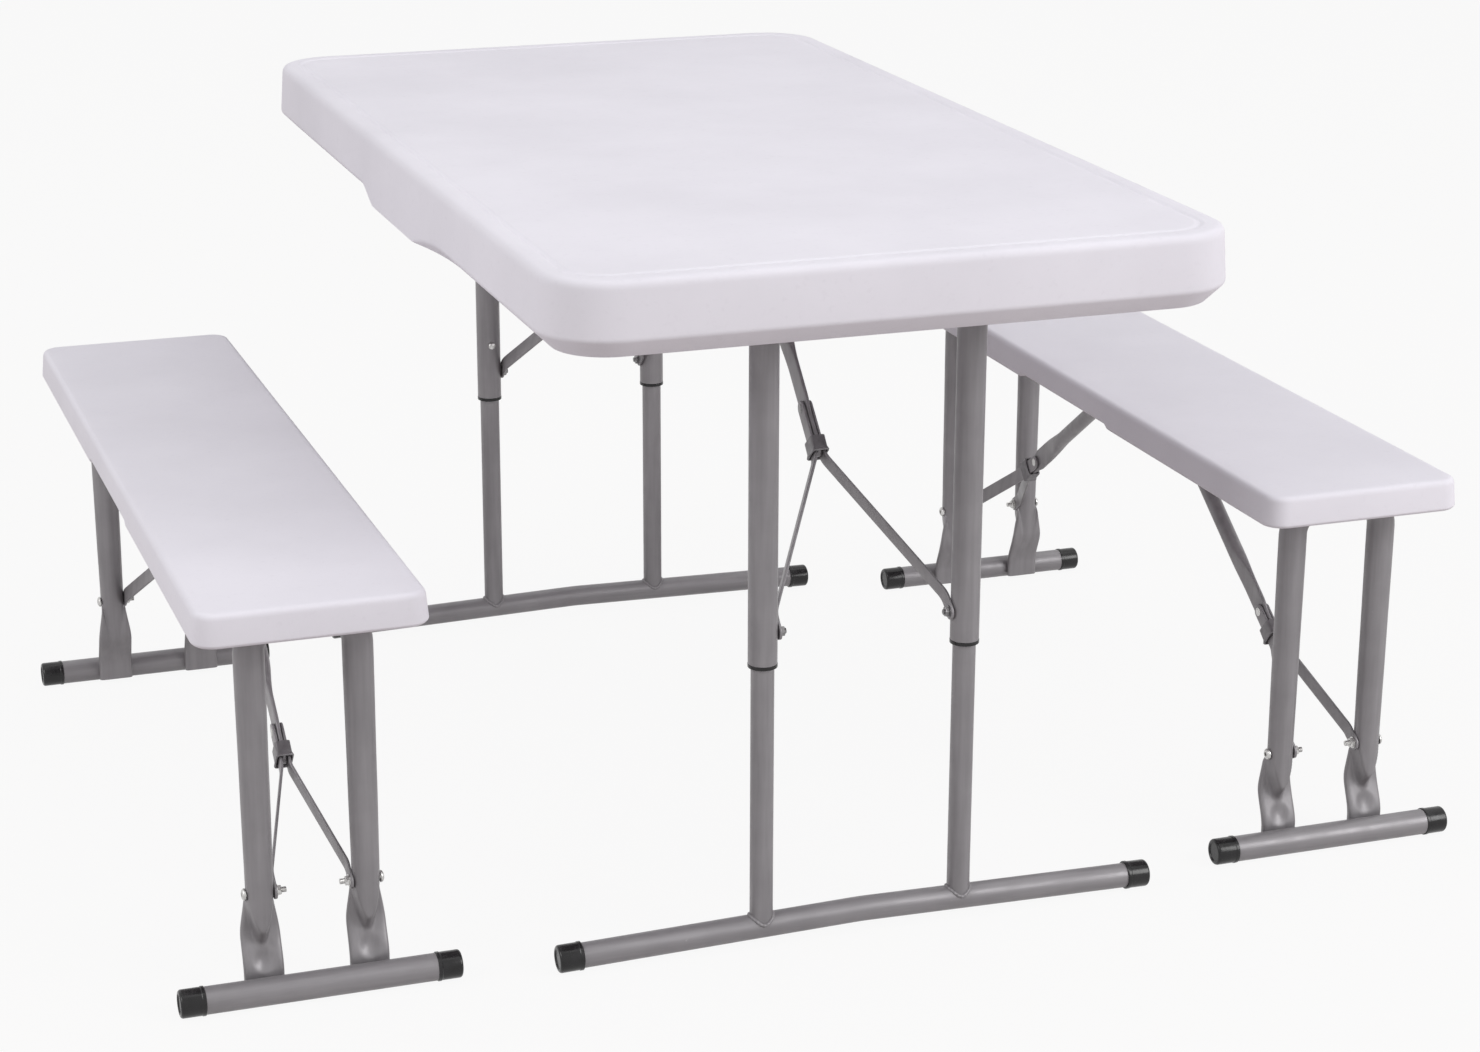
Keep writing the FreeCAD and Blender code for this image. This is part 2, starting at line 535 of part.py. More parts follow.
# Collars, lower legs, foot bar and caps of one leg frame
foot_angle = math.atan2(mm("foot_rise"), mm("foot_half"))
foot_line, foot_start = foot_path("foot_path", TABLE_LEG_Y, foot_angle)
foot_way = Vector(math.cos(foot_angle), 0, math.sin(foot_angle))
foot_turn = Rotation(Vector(0, 0, 1), foot_way)
foot_outside = sweep("foot_outside", foot_line, "foot_radius", foot_start, foot_turn)
foot_inside = sweep("foot_inside", foot_line, "foot_bore", foot_start, foot_turn)
foot_at_leg = mm("cap_radius + foot_rise") - spread * math.tan(foot_angle)
collars = []
lower_legs = []
for side, sign in SIDES.items():
    axis = (sign * spread, TABLE_LEG_Y)
    lip_low = mm("upper_end - collar_lip")
    sleeve = cylinder(f"{side}_sleeve", "upper_bore - collar_fit", "collar_length", axis + (lip_low,))
    lip = cylinder(f"{side}_lip", "collar_flange", "collar_lip", axis + (lip_low,))
    passage = cylinder(f"{side}_passage", "lower_radius + slide_gap", "collar_length", axis + (lip_low,))
    collars.append(cut(f"{side}_collar", fuse(f"{side}_collar_solid", [sleeve, lip]), [passage]))
    leg_length = mm("lower_top") - foot_at_leg
    leg = cylinder(f"{side}_lower_leg", "lower_radius", leg_length, axis + (foot_at_leg,))
    leg_bore = cylinder(f"{side}_lower_bore", "lower_bore", leg_length, axis + (foot_at_leg,))
    lower_legs.append(cut(f"{side}_lower_form", leg, [leg_bore, foot_outside]))
cap_ends = [end_cap("left_cap", (-mm("foot_half"), TABLE_LEG_Y, mm("cap_radius")), foot_way, "foot_radius"),
            end_cap("right_cap", (mm("foot_half"), TABLE_LEG_Y, mm("cap_radius")),
                    Vector(-foot_way.x, 0, foot_way.z), "foot_radius")]
table_frame["leg_collars"] = collars
table_frame["lower_legs"] = lower_legs
table_frame["foot_bar"] = [cut("foot_bar_form", foot_outside, [foot_inside])]
table_frame["foot_caps"] = cap_ends

# Folding brace of one table leg frame
table_tab = mm("leg_spread - upper_radius - leg_gap")
table_brace = Brace("table_brace", TABLE_LEG_Y, mm("brace_on_leg"), TABLE_STRUT_Y, TABLE_HINGE, table_tab,
                    "rod_straight", "clip_drop", "strut_round")
wall_end = mm("leg_spread - upper_bore - leg_gap / 2")
braced = table_brace.parts(wall_end, bolt_head=False)
for piece, items in braced.items():
    table_frame[piece] = [group(f"table_{piece}_form", items, table_brace.placement)]

# Snap buttons on the inward faces of the upper legs
for side, sign in SIDES.items():
    seat = (sign * spread, TABLE_LEG_Y + mm("button_in"), mm("button_height"))
    stem = cylinder(f"{side}_stem", "button_radius", "button_out - button_in", seat, ALONG)
    dome_base = (seat[0], TABLE_LEG_Y + mm("button_out"), seat[2])
    dome = bound("Part::Ellipsoid", f"{side}_dome", dome_base, ALONG,
                 Radius1="button_dome", Radius2="button_radius")
    table_frame[f"button_{side}"] = [fuse(f"{side}_button_form", [stem, dome])]

# Both leg frames of the table: the rear one is the front one turned half round
MIRRORED_NAMES = {"button_left": "button_right", "button_right": "button_left"}
for piece, items in table_frame.items():
    node(f"front_{piece}", items)
    node(f"rear_{MIRRORED_NAMES.get(piece, piece)}", items, Placement(Vector(), HALF_TURN))

# Bench seat with the shallow notch in both long sides, hollow panel and screw holes
seat_body = moulded_top("seat_shell", "bench", BENCH_BOTTOM, "bench_rim")
notch_turn = Rotation(Vector(0, 1, 0), Vector(0, 0, 1), Vector(1, 0, 0), "XYZ")
notch = bound("Part::Wedge", "seat_notch", (0, 0, BENCH_BOTTOM), notch_turn,
              Xmin="0 - notch_half - notch_slope", Xmax="notch_half + notch_slope",
              X2min="0 - notch_half", X2max="notch_half", Ymin="0", Ymax="notch_rise",
              Zmin="0 - bench_width", Zmax="bench_width", Z2min="0 - bench_width", Z2max="bench_width")
near_spots = bracket_spots([0], BENCH_LEG_Y, BENCH_STRUT_Y)
bench_spots = near_spots + [(-x, -y) for x, y in near_spots]
seat_air = hollow_space("seat_air", "bench", bench_spots)
seat_holes = [cylinder(f"seat_screw_hole_{number}", "screw_radius", "screw_deep", (x, y, BENCH_CEILING))
              for number, (x, y) in enumerate(bench_spots)]
seat_form = cut("seat_finished", cut("seat_hollow", seat_body, [seat_air]), [notch] + seat_holes)
bench_brackets = [leg_bracket("bench_leg_bracket", 0, BENCH_LEG_Y, BENCH_HINGE, BENCH_CEILING,
                              "bench_leg_radius"),
                  strut_bracket("bench_strut_bracket", BENCH_STRUT_Y, BENCH_HINGE, BENCH_CEILING)]
bench_pin = hinge_pin("bench_pin", BENCH_STRUT_Y, BENCH_HINGE)
bench_screws = [screw(f"bench_screw_{number}", x, y, BENCH_CEILING)
                for number, (x, y) in enumerate(bench_spots)]
half_turned = Placement(Vector(), HALF_TURN)
bench_top = {
    "seat": [seat_form],
    "brackets": bench_brackets + [group("bench_rear_brackets", bench_brackets, half_turned)],
    "bracket_fasteners": bench_screws + [bench_pin, group("bench_rear_pin", [bench_pin], half_turned)],
}

# Bench leg frame: a U of tube whose lower ends are pressed flat against the inner side of the foot tube
bench_spread = mm("bench_leg_spread")
bench_path = u_path("bench_path", bench_spread, BENCH_LEG_Y, mm("tail_start"), BENCH_HINGE, mm("bench_bend"))
bench_start = (-bench_spread, BENCH_LEG_Y, mm("tail_start"))
bench_pieces = [sweep("bench_outside", bench_path, "bench_leg_radius", bench_start)]
bench_cuts = [sweep("bench_inside", bench_path, "bench_leg_bore", bench_start)]
tail_y = -mm("bench_foot_reach - bench_foot_radius - tail_thick / 2")
for side, sign in SIDES.items():
    x = sign * bench_spread
    top_ring = bound("Part::Circle", f"{side}_tail_ring", (x, BENCH_LEG_Y, mm("tail_start")),
                     Radius="bench_leg_radius")
    flat_ring = bound("Part::Ellipse", f"{side}_tail_oval", (x, tail_y, mm("tail_top")),
                      MajorRadius="tail_half", MinorRadius="tail_thick / 2")
    press = doc.addObject("Part::Loft", f"{side}_press")
    press.Sections = [top_ring, flat_ring]
    press.Solid = True
    tail = bound("Part::Extrusion", f"{side}_tail", LengthFwd="tail_top - tail_bottom")
    tail.Base = flat_ring
    tail.DirMode = "Custom"
    tail.Dir = Vector(0, 0, -1)
    tail.Solid = True
    bench_pieces += [press, tail]
    outside = sign * bench_spread - 2 * mm("bench_leg_radius")
    bench_cuts.append(cylinder(f"{side}_leg_drill", "bolt_radius + bolt_gap", "4 * bench_leg_radius",
                               (outside, BENCH_LEG_Y, mm("bench_brace_on_leg")), ACROSS))
bench_frame = {"legs": [cut("bench_legs_form", fuse("bench_legs_solid", bench_pieces), bench_cuts)]}

# Foot tube, caps and brace of one bench leg frame
bench_foot = (-mm("bench_foot_half - cap_wall"), -mm("bench_foot_reach"), mm("cap_radius"))
bench_foot_length = "2 * bench_foot_half - 2 * cap_wall"
bench_tube = cylinder("bench_foot_outside", "bench_foot_radius", bench_foot_length, bench_foot, ACROSS)
bench_tube_bore = cylinder("bench_foot_inside", "bench_foot_bore", bench_foot_length, bench_foot, ACROSS)
bench_frame["foot_tube"] = [cut("bench_foot_form", bench_tube, [bench_tube_bore])]
bench_frame["foot_caps"] = []
for side, sign in SIDES.items():
    cap_base = (sign * mm("bench_foot_half"),) + bench_foot[1:]
    cap = end_cap(f"bench_{side}_cap", cap_base, Vector(-sign, 0, 0), "bench_foot_radius")
    bench_frame["foot_caps"].append(cap)
bench_tab = mm("bench_leg_spread - bench_leg_radius - leg_gap")
bench_brace = Brace("bench_brace", BENCH_LEG_Y, mm("bench_brace_on_leg"), BENCH_STRUT_Y, BENCH_HINGE,
                    bench_tab, "bench_rod_straight", "bench_clip_drop", "bench_strut_round")
braced = bench_brace.parts(mm("bench_leg_spread + bench_leg_radius + leg_gap"), bolt_head=True)
for piece, items in braced.items():
    bench_frame[piece] = [group(f"bench_{piece}_form", items, bench_brace.placement)]

# Both benches, each with a front and a rear leg frame
for side, sign in SIDES.items():
    spot = Vector(sign * mm("bench_offset"), mm("bench_shift"), 0)
    for piece, items in bench_top.items():
        node(f"{side}_bench_{piece}", items, Placement(spot, Rotation()))
    for end, turn in (("front", Rotation()), ("rear", HALF_TURN)):
        for piece, items in bench_frame.items():
            node(f"{side}_bench_{end}_{piece}", items, Placement(spot, turn))

doc.recompute()
for item in doc.Objects:
    if "Invalid" in item.State or "Error" in item.State:
        raise RuntimeError(f"{item.Name} did not build: {item.State}")
os.makedirs("parts", exist_ok=True)
for item in nodes:
    if item.Shape.isNull() or not item.Shape.isValid():
        raise RuntimeError(f"{item.Label} has no sound shape")
    item.Shape.exportStep(f"parts/{item.Label}.step")
print(len(nodes), "parts;", sum(len(item.Shape.Solids) for item in nodes), "solids")
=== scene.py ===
import json
import math
import bmesh
import bpy
from mathutils import Matrix, Vector


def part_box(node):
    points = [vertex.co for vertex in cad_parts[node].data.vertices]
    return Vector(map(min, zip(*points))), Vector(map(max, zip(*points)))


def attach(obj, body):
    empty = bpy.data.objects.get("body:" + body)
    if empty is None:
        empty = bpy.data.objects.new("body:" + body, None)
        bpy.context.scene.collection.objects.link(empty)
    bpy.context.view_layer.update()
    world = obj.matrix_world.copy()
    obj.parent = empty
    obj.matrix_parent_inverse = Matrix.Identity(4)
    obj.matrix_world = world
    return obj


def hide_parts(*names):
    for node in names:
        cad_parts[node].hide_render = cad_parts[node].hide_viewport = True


# Folding table with two folding benches: white moulded tops, grey tube legs, folding lock braces
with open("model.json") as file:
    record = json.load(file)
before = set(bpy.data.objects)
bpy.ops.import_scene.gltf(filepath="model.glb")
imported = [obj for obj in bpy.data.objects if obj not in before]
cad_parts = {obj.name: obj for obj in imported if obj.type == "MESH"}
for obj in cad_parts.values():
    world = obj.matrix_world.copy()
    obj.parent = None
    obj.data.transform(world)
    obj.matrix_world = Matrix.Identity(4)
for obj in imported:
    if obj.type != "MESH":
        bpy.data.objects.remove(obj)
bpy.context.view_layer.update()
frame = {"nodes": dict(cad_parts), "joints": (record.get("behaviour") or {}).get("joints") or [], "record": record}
nodes = frame["nodes"]
record = frame["record"]
joints = {joint["name"]: joint for joint in frame["joints"]}
SIDES = (-1, 1)
ENDS = ("front", "rear")
BENCHES = ("left_bench", "right_bench")
BENCH_ENDS = [f"{bench}_{end}" for bench in BENCHES for end in ENDS]
FOLD_SETS = list(ENDS) + BENCH_ENDS

# Photograph's camera: picture width and focal length in pixels, place in metres, turns in radians
PICTURE_WIDTH = 1480
FOCAL_PIXELS = 3230.9
SENSOR_WIDTH = 36.0
CAMERA_PLACE = Vector((-1.1428, -3.3733, 1.4404))
CAMERA_YAW, CAMERA_PITCH, CAMERA_ROLL = 0.3398, -0.3150, 0.0033

# Stage: floor, surrounding light, and soft boxes as place, target, side and watts
FLOOR_REACH, FLOOR_COLOUR, FLOOR_WHITE_SHARE = 60.0, (0.50, 0.46, 0.45, 1), 0.92
AMBIENT = 0.46
SOFT_BOXES = {
    "overhead": ((0.7, -0.2, 4.8), (0.2, 0, 0.4), 4.0, 41),
    "right_front": ((3.3, -3.9, 2.8), (0, 0, 0.4), 2.6, 140),
    "left_side": ((-4.8, -1.1, 3.2), (0, 0, 0.4), 2.6, 96),
}

# Moulded tops: sizes in metres that the nodes' boxes do not give; a section line ends at its reach
TABLE_CORNER, TABLE_RIM, TABLE_PANEL, TABLE_REACH = 0.072, 0.022, 0.028, 0.062
TABLE_DRAFT, TABLE_EDGE, TABLE_BEVEL, TABLE_LEAST_BEVEL = 0.004, 0.0112, 0.018, 0.0012
TABLE_SKIRT_ROUND, TABLE_FOOT_ROUND, TABLE_TRAY_ROUND = 0.007, 0.003, 0.008
GROOVE_INSET, GROOVE_MOUTH, GROOVE_BED, GROOVE_DEEP = 0.0285, 0.0048, 0.00105, 0.0012
GROOVE_MOUTH_ROUND, GROOVE_BED_ROUND = 0.008, 0.002
HUMP_NEAR, HUMP_FLAT_NEAR, HUMP_FLAT_FAR, HUMP_FAR = -0.240, -0.100, 0.080, 0.138
SEAT_CORNER, SEAT_RIM, SEAT_PANEL, SEAT_REACH = 0.024, 0.022, 0.018, 0.0235
SEAT_DRAFT, SEAT_EDGE, SEAT_BEVEL = 0.003, 0.0075, 0.003
SEAT_SKIRT_ROUND, SEAT_TRAY_ROUND = 0.003, 0.002
NOTCH_RISE, NOTCH_HALF, NOTCH_SLOPE = 0.0045, 0.115, 0.010
LONG_STEPS, SHORT_STEPS = 121, 25

# Braces: lengths in metres, by kind where table and bench differ
STRUT_ROUND, STRUT_HALF, TONGUE_DEEP, STRUT_PAST_CLIP = 0.009, 0.0022, 0.0096, 0.001
PADDLE_LENGTH = {"table": 0.050, "bench": 0.034}
PADDLE_DEEP, PADDLE_RISE, PADDLE_TAPER = 0.0130, 0.010, 0.060
STRUT_END_HALF, STRUT_END_DEEP, STRUT_FLAT_FROM, STRUT_FLAT_TO = 0.0062, 0.0075, 0.032, 0.014
STRUT_STEPS, STRUT_END_STEPS, STRUT_END_GAP, STRUT_TIP_HALF = 72, 6, 0.002, 1e-4
FLAT_POWER, ROUND_POWER, CLIP_POWER = 5.5, 2.0, 7.0
CLIP_DROP = {"table": 0.046, "bench": 0.028}
CLIP_LENGTH, CLIP_WALL, CLIP_EDGE, CLIP_HALF_X, CLIP_HALF_Z = 0.018, 0.0016, 0.0005, 0.0066, 0.0112
CLIP_TILT = math.radians(5)
LIP_OUT, LIP_START, LIP_CREST, LIP_THROAT, LIP_THROAT_SHARE = 0.0012, 0.005, 0.0012, 0.0016, 0.6
ROD_STRAIGHT = {"table": 0.058, "bench": 0.046}
ROD_GAP, ROD_THICK, ROD_WIDE, ROD_TAB, ROD_BEND = 0.0030, 0.0028, 0.017, 0.018, 0.030
ROD_EDGE, ROD_EDGE_SHARE, ROD_TIP_HALF = 0.0008, 0.6, 0.0012
RIVET_HEAD, RIVET_HEAD_THICK = 0.0050, 0.0010
BOLT_TIP = {"table": 0.0020, "bench": 0.0055}
BOLT_RADIUS, BOLT_SUNK, THREAD_PITCH, THREAD_DEEP = 0.003, 0.004, 0.00125, 0.0004
BOLT_HEAD, BOLT_HEAD_THICK, HEAD_SIDE_SHARE = 0.0062, 0.0040, 0.25
BOLT_SOCKET, SOCKET_FLOOR, SOCKET_TAPER = 0.0024, 0.4, 0.9
WASHER_RADIUS, WASHER_THICK = 0.0064, 0.0008
NUT_RADIUS, NUT_THICK = 0.0055, 0.0045
NUT_PROFILE = ((0.0, 0.90), (0.12, 1.0), (0.85, 1.0), (1.0, 0.88))

# Bench legs, in metres: a tube bent to a U; widths are stops of (height, half width)
BENCH_SPREAD, BENCH_TUBE, BENCH_BEND, BENCH_WIDEST = 0.0534, 0.0135, 0.030, 0.0158
LEG_WIDTHS = ((0.034, 0.0202), (0.060, 0.0200), (0.112, 0.0140), (0.220, 0.0147), (0.350, 0.0154))
TAIL_BOTTOM, TAIL_TOP, TAIL_HALF, TAIL_POWER = 0.0070, 0.040, 0.0045, 12
PRESS_WAY = ((0.026, -0.0055), (0.074, 0.0088))
RIDGE_POINT, RIDGE_TOP, RIDGE_RISE = 0.050, 0.124, 0.034
RIDGE_WIDE, RIDGE_SLOPE, RIDGE_POWER = 0.0125, 0.026, 2.2
DENT_HEIGHT, DENT_TALL, DENT_WIDE, DENT_DEEP = 0.040, 0.014, 0.013, 0.0036
TAIL_STEPS, RIDGE_STEPS, UPPER_STEPS, BEND_STEPS, LEG_SIDES = 24, 56, 24, 12, 72
RING_PITCH = 0.0015

# Foot caps and weld beads, in metres
CAP_RADIUS, CAP_LENGTH, CAP_TUCK, CAP_BEND = 0.015, 0.0255, 0.001, 0.0030
CAP_BEAD, CAP_BEAD_WIDE, CAP_CHAMFER, CAP_DISH = 0.0006, 0.0042, 0.0008, 0.0012
BEAD_RADIUS, BEAD_RIPPLE, BEAD_RIPPLES, BEAD_STEPS, BEAD_SIDES = 0.0022, 0.12, 22, 88, 10

# CAD nodes that stay: edge breaks and the reach within which vertices are welded, in metres
EDGE_BREAK, WELD_REACH = 0.0005, 1e-5
SMOOTH_ANGLE = math.radians(32)

# Meshes: radius of a turned point and the reach within which vertices merge, in metres
LEAST_RADIUS, MERGE_REACH = 1e-5, 1e-6

# Rounded corners: largest share of a side that one takes, and the signs of each quarter of a turn
CORNER_SHARE = 0.48
QUARTERS = ((1, 1), (-1, 1), (-1, -1), (1, -1))

# Usual range of a noise pattern, and streaks along upright and level tubes
NOISE_LOW, NOISE_HIGH = 0.3, 0.7
UPRIGHT_STREAKS, LEVEL_STREAKS = (1.0, 1.0, 0.06), (0.06, 1.0, 1.0)


# Node materials

def linear(*levels):
    """Picture levels from 0 to 255 as a linear colour."""
    shares = [level / 255 for level in levels]
    return tuple(s / 12.92 if s <= 0.04045 else ((s + 0.055) / 1.055) ** 2.4 for s in shares) + (1.0,)


def grey(level):
    return (level, level, level, 1)


class Finish:
    """Node material on object coordinates, built up from noise layers."""

    def __init__(self, name):
        self.material = bpy.data.materials.new(name)
        self.material.use_nodes = True
        self.tree = self.material.node_tree
        self.shader = self.tree.nodes["Principled BSDF"]
        self.place = self.tree.nodes.new("ShaderNodeTexCoord").outputs["Object"]
        self.normal = None

    def link(self, source, target):
        self.tree.links.new(source, target)

    def noise(self, scale, detail=3.0, rough=0.5, stretch=None):
        """Noise pattern of a scale per metre, stretched along an axis if asked."""
        place = self.place
        if stretch:
            mapping = self.tree.nodes.new("ShaderNodeMapping")
            mapping.inputs["Scale"].default_value = stretch
            self.link(place, mapping.inputs["Vector"])
            place = mapping.outputs["Vector"]
        node = self.tree.nodes.new("ShaderNodeTexNoise")
        node.inputs["Scale"].default_value = scale
        node.inputs["Detail"].default_value = detail
        node.inputs["Roughness"].default_value = rough
        self.link(place, node.inputs["Vector"])
        return node.outputs["Fac"]

    def ramp(self, source, *stops):
        """Colours between two stops of (level, colour) as a pattern rises."""
        node = self.tree.nodes.new("ShaderNodeValToRGB")
        for element, (level, colour) in zip(node.color_ramp.elements, stops):
            element.position = level
            element.color = colour
        self.link(source, node.inputs["Fac"])
        return node.outputs["Color"]

    def blend(self, share, first, second, mode="MIX"):
        """Two colours mixed by a share; each of the three is a value or a pattern."""
        node = self.tree.nodes.new("ShaderNodeMix")
        node.data_type = "RGBA"
        node.blend_type = mode
        for name, value in (("Factor", share), ("A", first), ("B", second)):
            if isinstance(value, bpy.types.NodeSocket):
                self.link(value, node.inputs[name])
            else:
                node.inputs[name].default_value = value
        return node.outputs["Result"]

    def span(self, source, low, high):
        """Pattern carried from the usual range of noise to a span."""
        node = self.tree.nodes.new("ShaderNodeMapRange")
        node.inputs["From Min"].default_value = NOISE_LOW
        node.inputs["From Max"].default_value = NOISE_HIGH
        node.inputs["To Min"].default_value = low
        node.inputs["To Max"].default_value = high
        self.link(source, node.inputs["Value"])
        return node.outputs["Result"]

    def colour(self, source):
        self.link(source, self.shader.inputs["Base Color"])

    def roughness(self, source, low, high):
        self.link(self.span(source, low, high), self.shader.inputs["Roughness"])

    def bump(self, source, distance, strength):
        """Relief of a height in metres, laid over the relief before it."""
        node = self.tree.nodes.new("ShaderNodeBump")
        node.inputs["Strength"].default_value = strength
        node.inputs["Distance"].default_value = distance
        self.link(source, node.inputs["Height"])
        if self.normal:
            self.link(self.normal, node.inputs["Normal"])
        self.normal = node.outputs["Normal"]
        self.link(self.normal, self.shader.inputs["Normal"])

    def fixed(self, **values):
        """Constants of shader sockets, named with underscores for spaces."""
        for socket, value in values.items():
            self.shader.inputs[socket.replace("_", " ")].default_value = value


def white_plastic():
    """Blow-moulded polyethylene: faint cloudiness, broad sink waves and a fine moulded grain."""
    finish = Finish("white_plastic")
    clouds = finish.noise(5.0, detail=4.0)
    tone = finish.ramp(clouds, (0.30, linear(229, 226, 234)), (0.70, linear(236, 233, 241)))
    speck = (0.965, 0.962, 0.965, 1)
    specks = finish.ramp(finish.noise(160.0, detail=2.0), (0.60, grey(1)), (0.80, speck))
    finish.colour(finish.blend(1.0, tone, specks, "MULTIPLY"))
    finish.roughness(finish.noise(38.0, detail=4.0), 0.64, 0.78)
    finish.bump(finish.noise(9.0, detail=1.0), 0.0012, 0.35)
    finish.bump(finish.noise(1100.0, detail=2.0), 0.00012, 0.55)
    finish.fixed(Specular_IOR_Level=0.25)
    return finish.material


def grey_paint(name, stretch):
    """Satin grey powder coat with faint orange peel, drawn streaks along the tube and small scuffs."""
    finish = Finish(name)
    streaks = finish.noise(130.0, detail=3.0, stretch=stretch)
    tone = finish.ramp(streaks, (0.30, linear(136, 133, 136)), (0.70, linear(148, 145, 148)))
    clouds = finish.ramp(finish.noise(26.0, detail=4.0), (0.35, grey(0.92)), (0.65, grey(1)))
    body = finish.blend(1.0, tone, clouds, "MULTIPLY")
    scuffs = finish.ramp(finish.noise(85.0, detail=6.0, rough=0.7), (0.70, grey(0)), (0.78, grey(1)))
    finish.colour(finish.blend(scuffs, body, linear(168, 166, 168)))
    finish.roughness(finish.noise(60.0, detail=4.0), 0.36, 0.50)
    finish.bump(finish.noise(620.0, detail=2.0), 0.00001, 0.5)
    finish.fixed(Metallic=0.25)
    return finish.material


def dark_steel():
    """Dark coated sheet steel of the lock rings, rubbed in places."""
    finish = Finish("dark_steel")
    patches = finish.noise(120.0, detail=5.0)
    tone = finish.ramp(patches, (0.32, linear(106, 103, 106)), (0.68, linear(124, 121, 124)))
    rubs = finish.ramp(finish.noise(240.0, detail=6.0, rough=0.7), (0.66, grey(0)), (0.76, grey(1)))
    finish.colour(finish.blend(rubs, tone, linear(148, 145, 148)))
    finish.roughness(finish.noise(150.0, detail=4.0), 0.34, 0.52)
    finish.bump(finish.noise(700.0, detail=2.0), 0.00004, 0.6)
    finish.fixed(Metallic=0.35)
    return finish.material


def dark_plastic():
    """Black moulded plastic of caps and collars with a fine grain and rubbed patches."""
    finish = Finish("dark_plastic")
    patches = finish.noise(70.0, detail=4.0)
    tone = finish.ramp(patches, (0.32, linear(20, 19, 20)), (0.68, linear(32, 31, 33)))
    rubs = finish.ramp(finish.noise(260.0, detail=5.0, rough=0.7), (0.72, grey(0)), (0.86, grey(1)))
    finish.colour(finish.blend(rubs, tone, linear(60, 58, 60)))
    finish.roughness(finish.noise(110.0, detail=4.0), 0.18, 0.30)
    finish.bump(finish.noise(1500.0, detail=2.0), 0.00002, 0.5)
    finish.fixed(Specular_IOR_Level=0.4)
    return finish.material


def zinc_steel(name, dark, light):
    """Zinc plating with a soft mottled sheen."""
    finish = Finish(name)
    finish.colour(finish.ramp(finish.noise(420.0, detail=5.0), (0.32, dark), (0.68, light)))
    finish.roughness(finish.noise(520.0, detail=4.0), 0.22, 0.40)
    finish.bump(finish.noise(900.0, detail=2.0), 0.00008, 0.5)
    finish.fixed(Metallic=1.0)
    return finish.material


FINISHES = {
    "white_plastic": white_plastic(),
    "grey_paint": grey_paint("grey_paint", UPRIGHT_STREAKS),
    "dark_steel": dark_steel(),
    "dark_plastic": dark_plastic(),
    "zinc_steel": zinc_steel("zinc_steel", linear(176, 174, 172), linear(214, 213, 212)),
}
# Zinc in darker tones, used for the table's brace bolts
DARKER_ZINC = zinc_steel("darker_zinc", linear(112, 110, 111), linear(150, 148, 149))
LEVEL_PAINT = grey_paint("grey_paint_level", LEVEL_STREAKS)


# Curves

def turn_steps(count):
    """Angles of a full turn, without the last, which is the first again."""
    return [2 * math.pi * number / count for number in range(count)]


def quarter_turn(steps=8):
    """Angles of a quarter turn, with both ends."""
    return [math.pi / 2 * number / steps for number in range(steps + 1)]


def spread(low, high, count):
    """Even marks from low to high, with both ends."""
    return [low + (high - low) * number / (count - 1) for number in range(count)]


def smooth(value):
    """Ease from 0 to 1."""
    value = min(1.0, max(0.0, value))
    return value * value * (3 - 2 * value)


def eased(value, stops):
    """Level at a value between stops of (value, level), eased from stop to stop."""
    if value <= stops[0][0]:
        return stops[0][1]
    for (start, low), (end, high) in zip(stops, stops[1:]):
        if value <= end:
            return low + (high - low) * smooth((value - start) / (end - start))
    return stops[-1][1]


def rounded_line(corners, steps=6):
    """Line through corners of (x, y, radius), with the corners rounded."""
    line = [Vector(corners[0][:2])]
    for before, corner, after in zip(corners, corners[1:], corners[2:]):
        point = Vector(corner[:2])
        back = Vector(before[:2]) - point
        ahead = Vector(after[:2]) - point
        half = back.angle(ahead) / 2
        reach = min(corner[2] / math.tan(half), CORNER_SHARE * back.length, CORNER_SHARE * ahead.length)
        start = point + back.normalized() * reach
        end = point + ahead.normalized() * reach
        for number in range(steps + 1):
            share = number / steps
            line.append(start * (1 - share) ** 2 + point * 2 * share * (1 - share) + end * share ** 2)
    line.append(Vector(corners[-1][:2]))
    return line


def rounded_loop(half_x, half_y, corner, long_marks, short_marks, corner_steps=18):
    """Rounded rectangle as (x, y, on a long side), counter-clockwise from the right-hand side."""
    reach_x, reach_y = half_x - corner, half_y - corner
    points = []
    for quarter, (sign_x, sign_y) in enumerate(QUARTERS):
        if quarter % 2 == 0:
            points += [(sign_x * half_x, sign_x * y, True) for y in long_marks]
        else:
            points += [(-sign_y * x, sign_y * half_y, False) for x in short_marks]
        for number in range(1, corner_steps):
            angle = math.pi / 2 * (quarter + number / corner_steps)
            points.append((sign_x * reach_x + corner * math.cos(angle),
                           sign_y * reach_y + corner * math.sin(angle), False))
    return points


def oval(half_x, half_z, along, power, steps=40):
    """Ring across Y whose corners get squarer with the power."""
    ring = []
    for angle in turn_steps(steps):
        c, s = math.cos(angle), math.sin(angle)
        ring.append((half_x * math.copysign(abs(c) ** (2 / power), c), along,
                     half_z * math.copysign(abs(s) ** (2 / power), s)))
    return ring


# Mesh helper

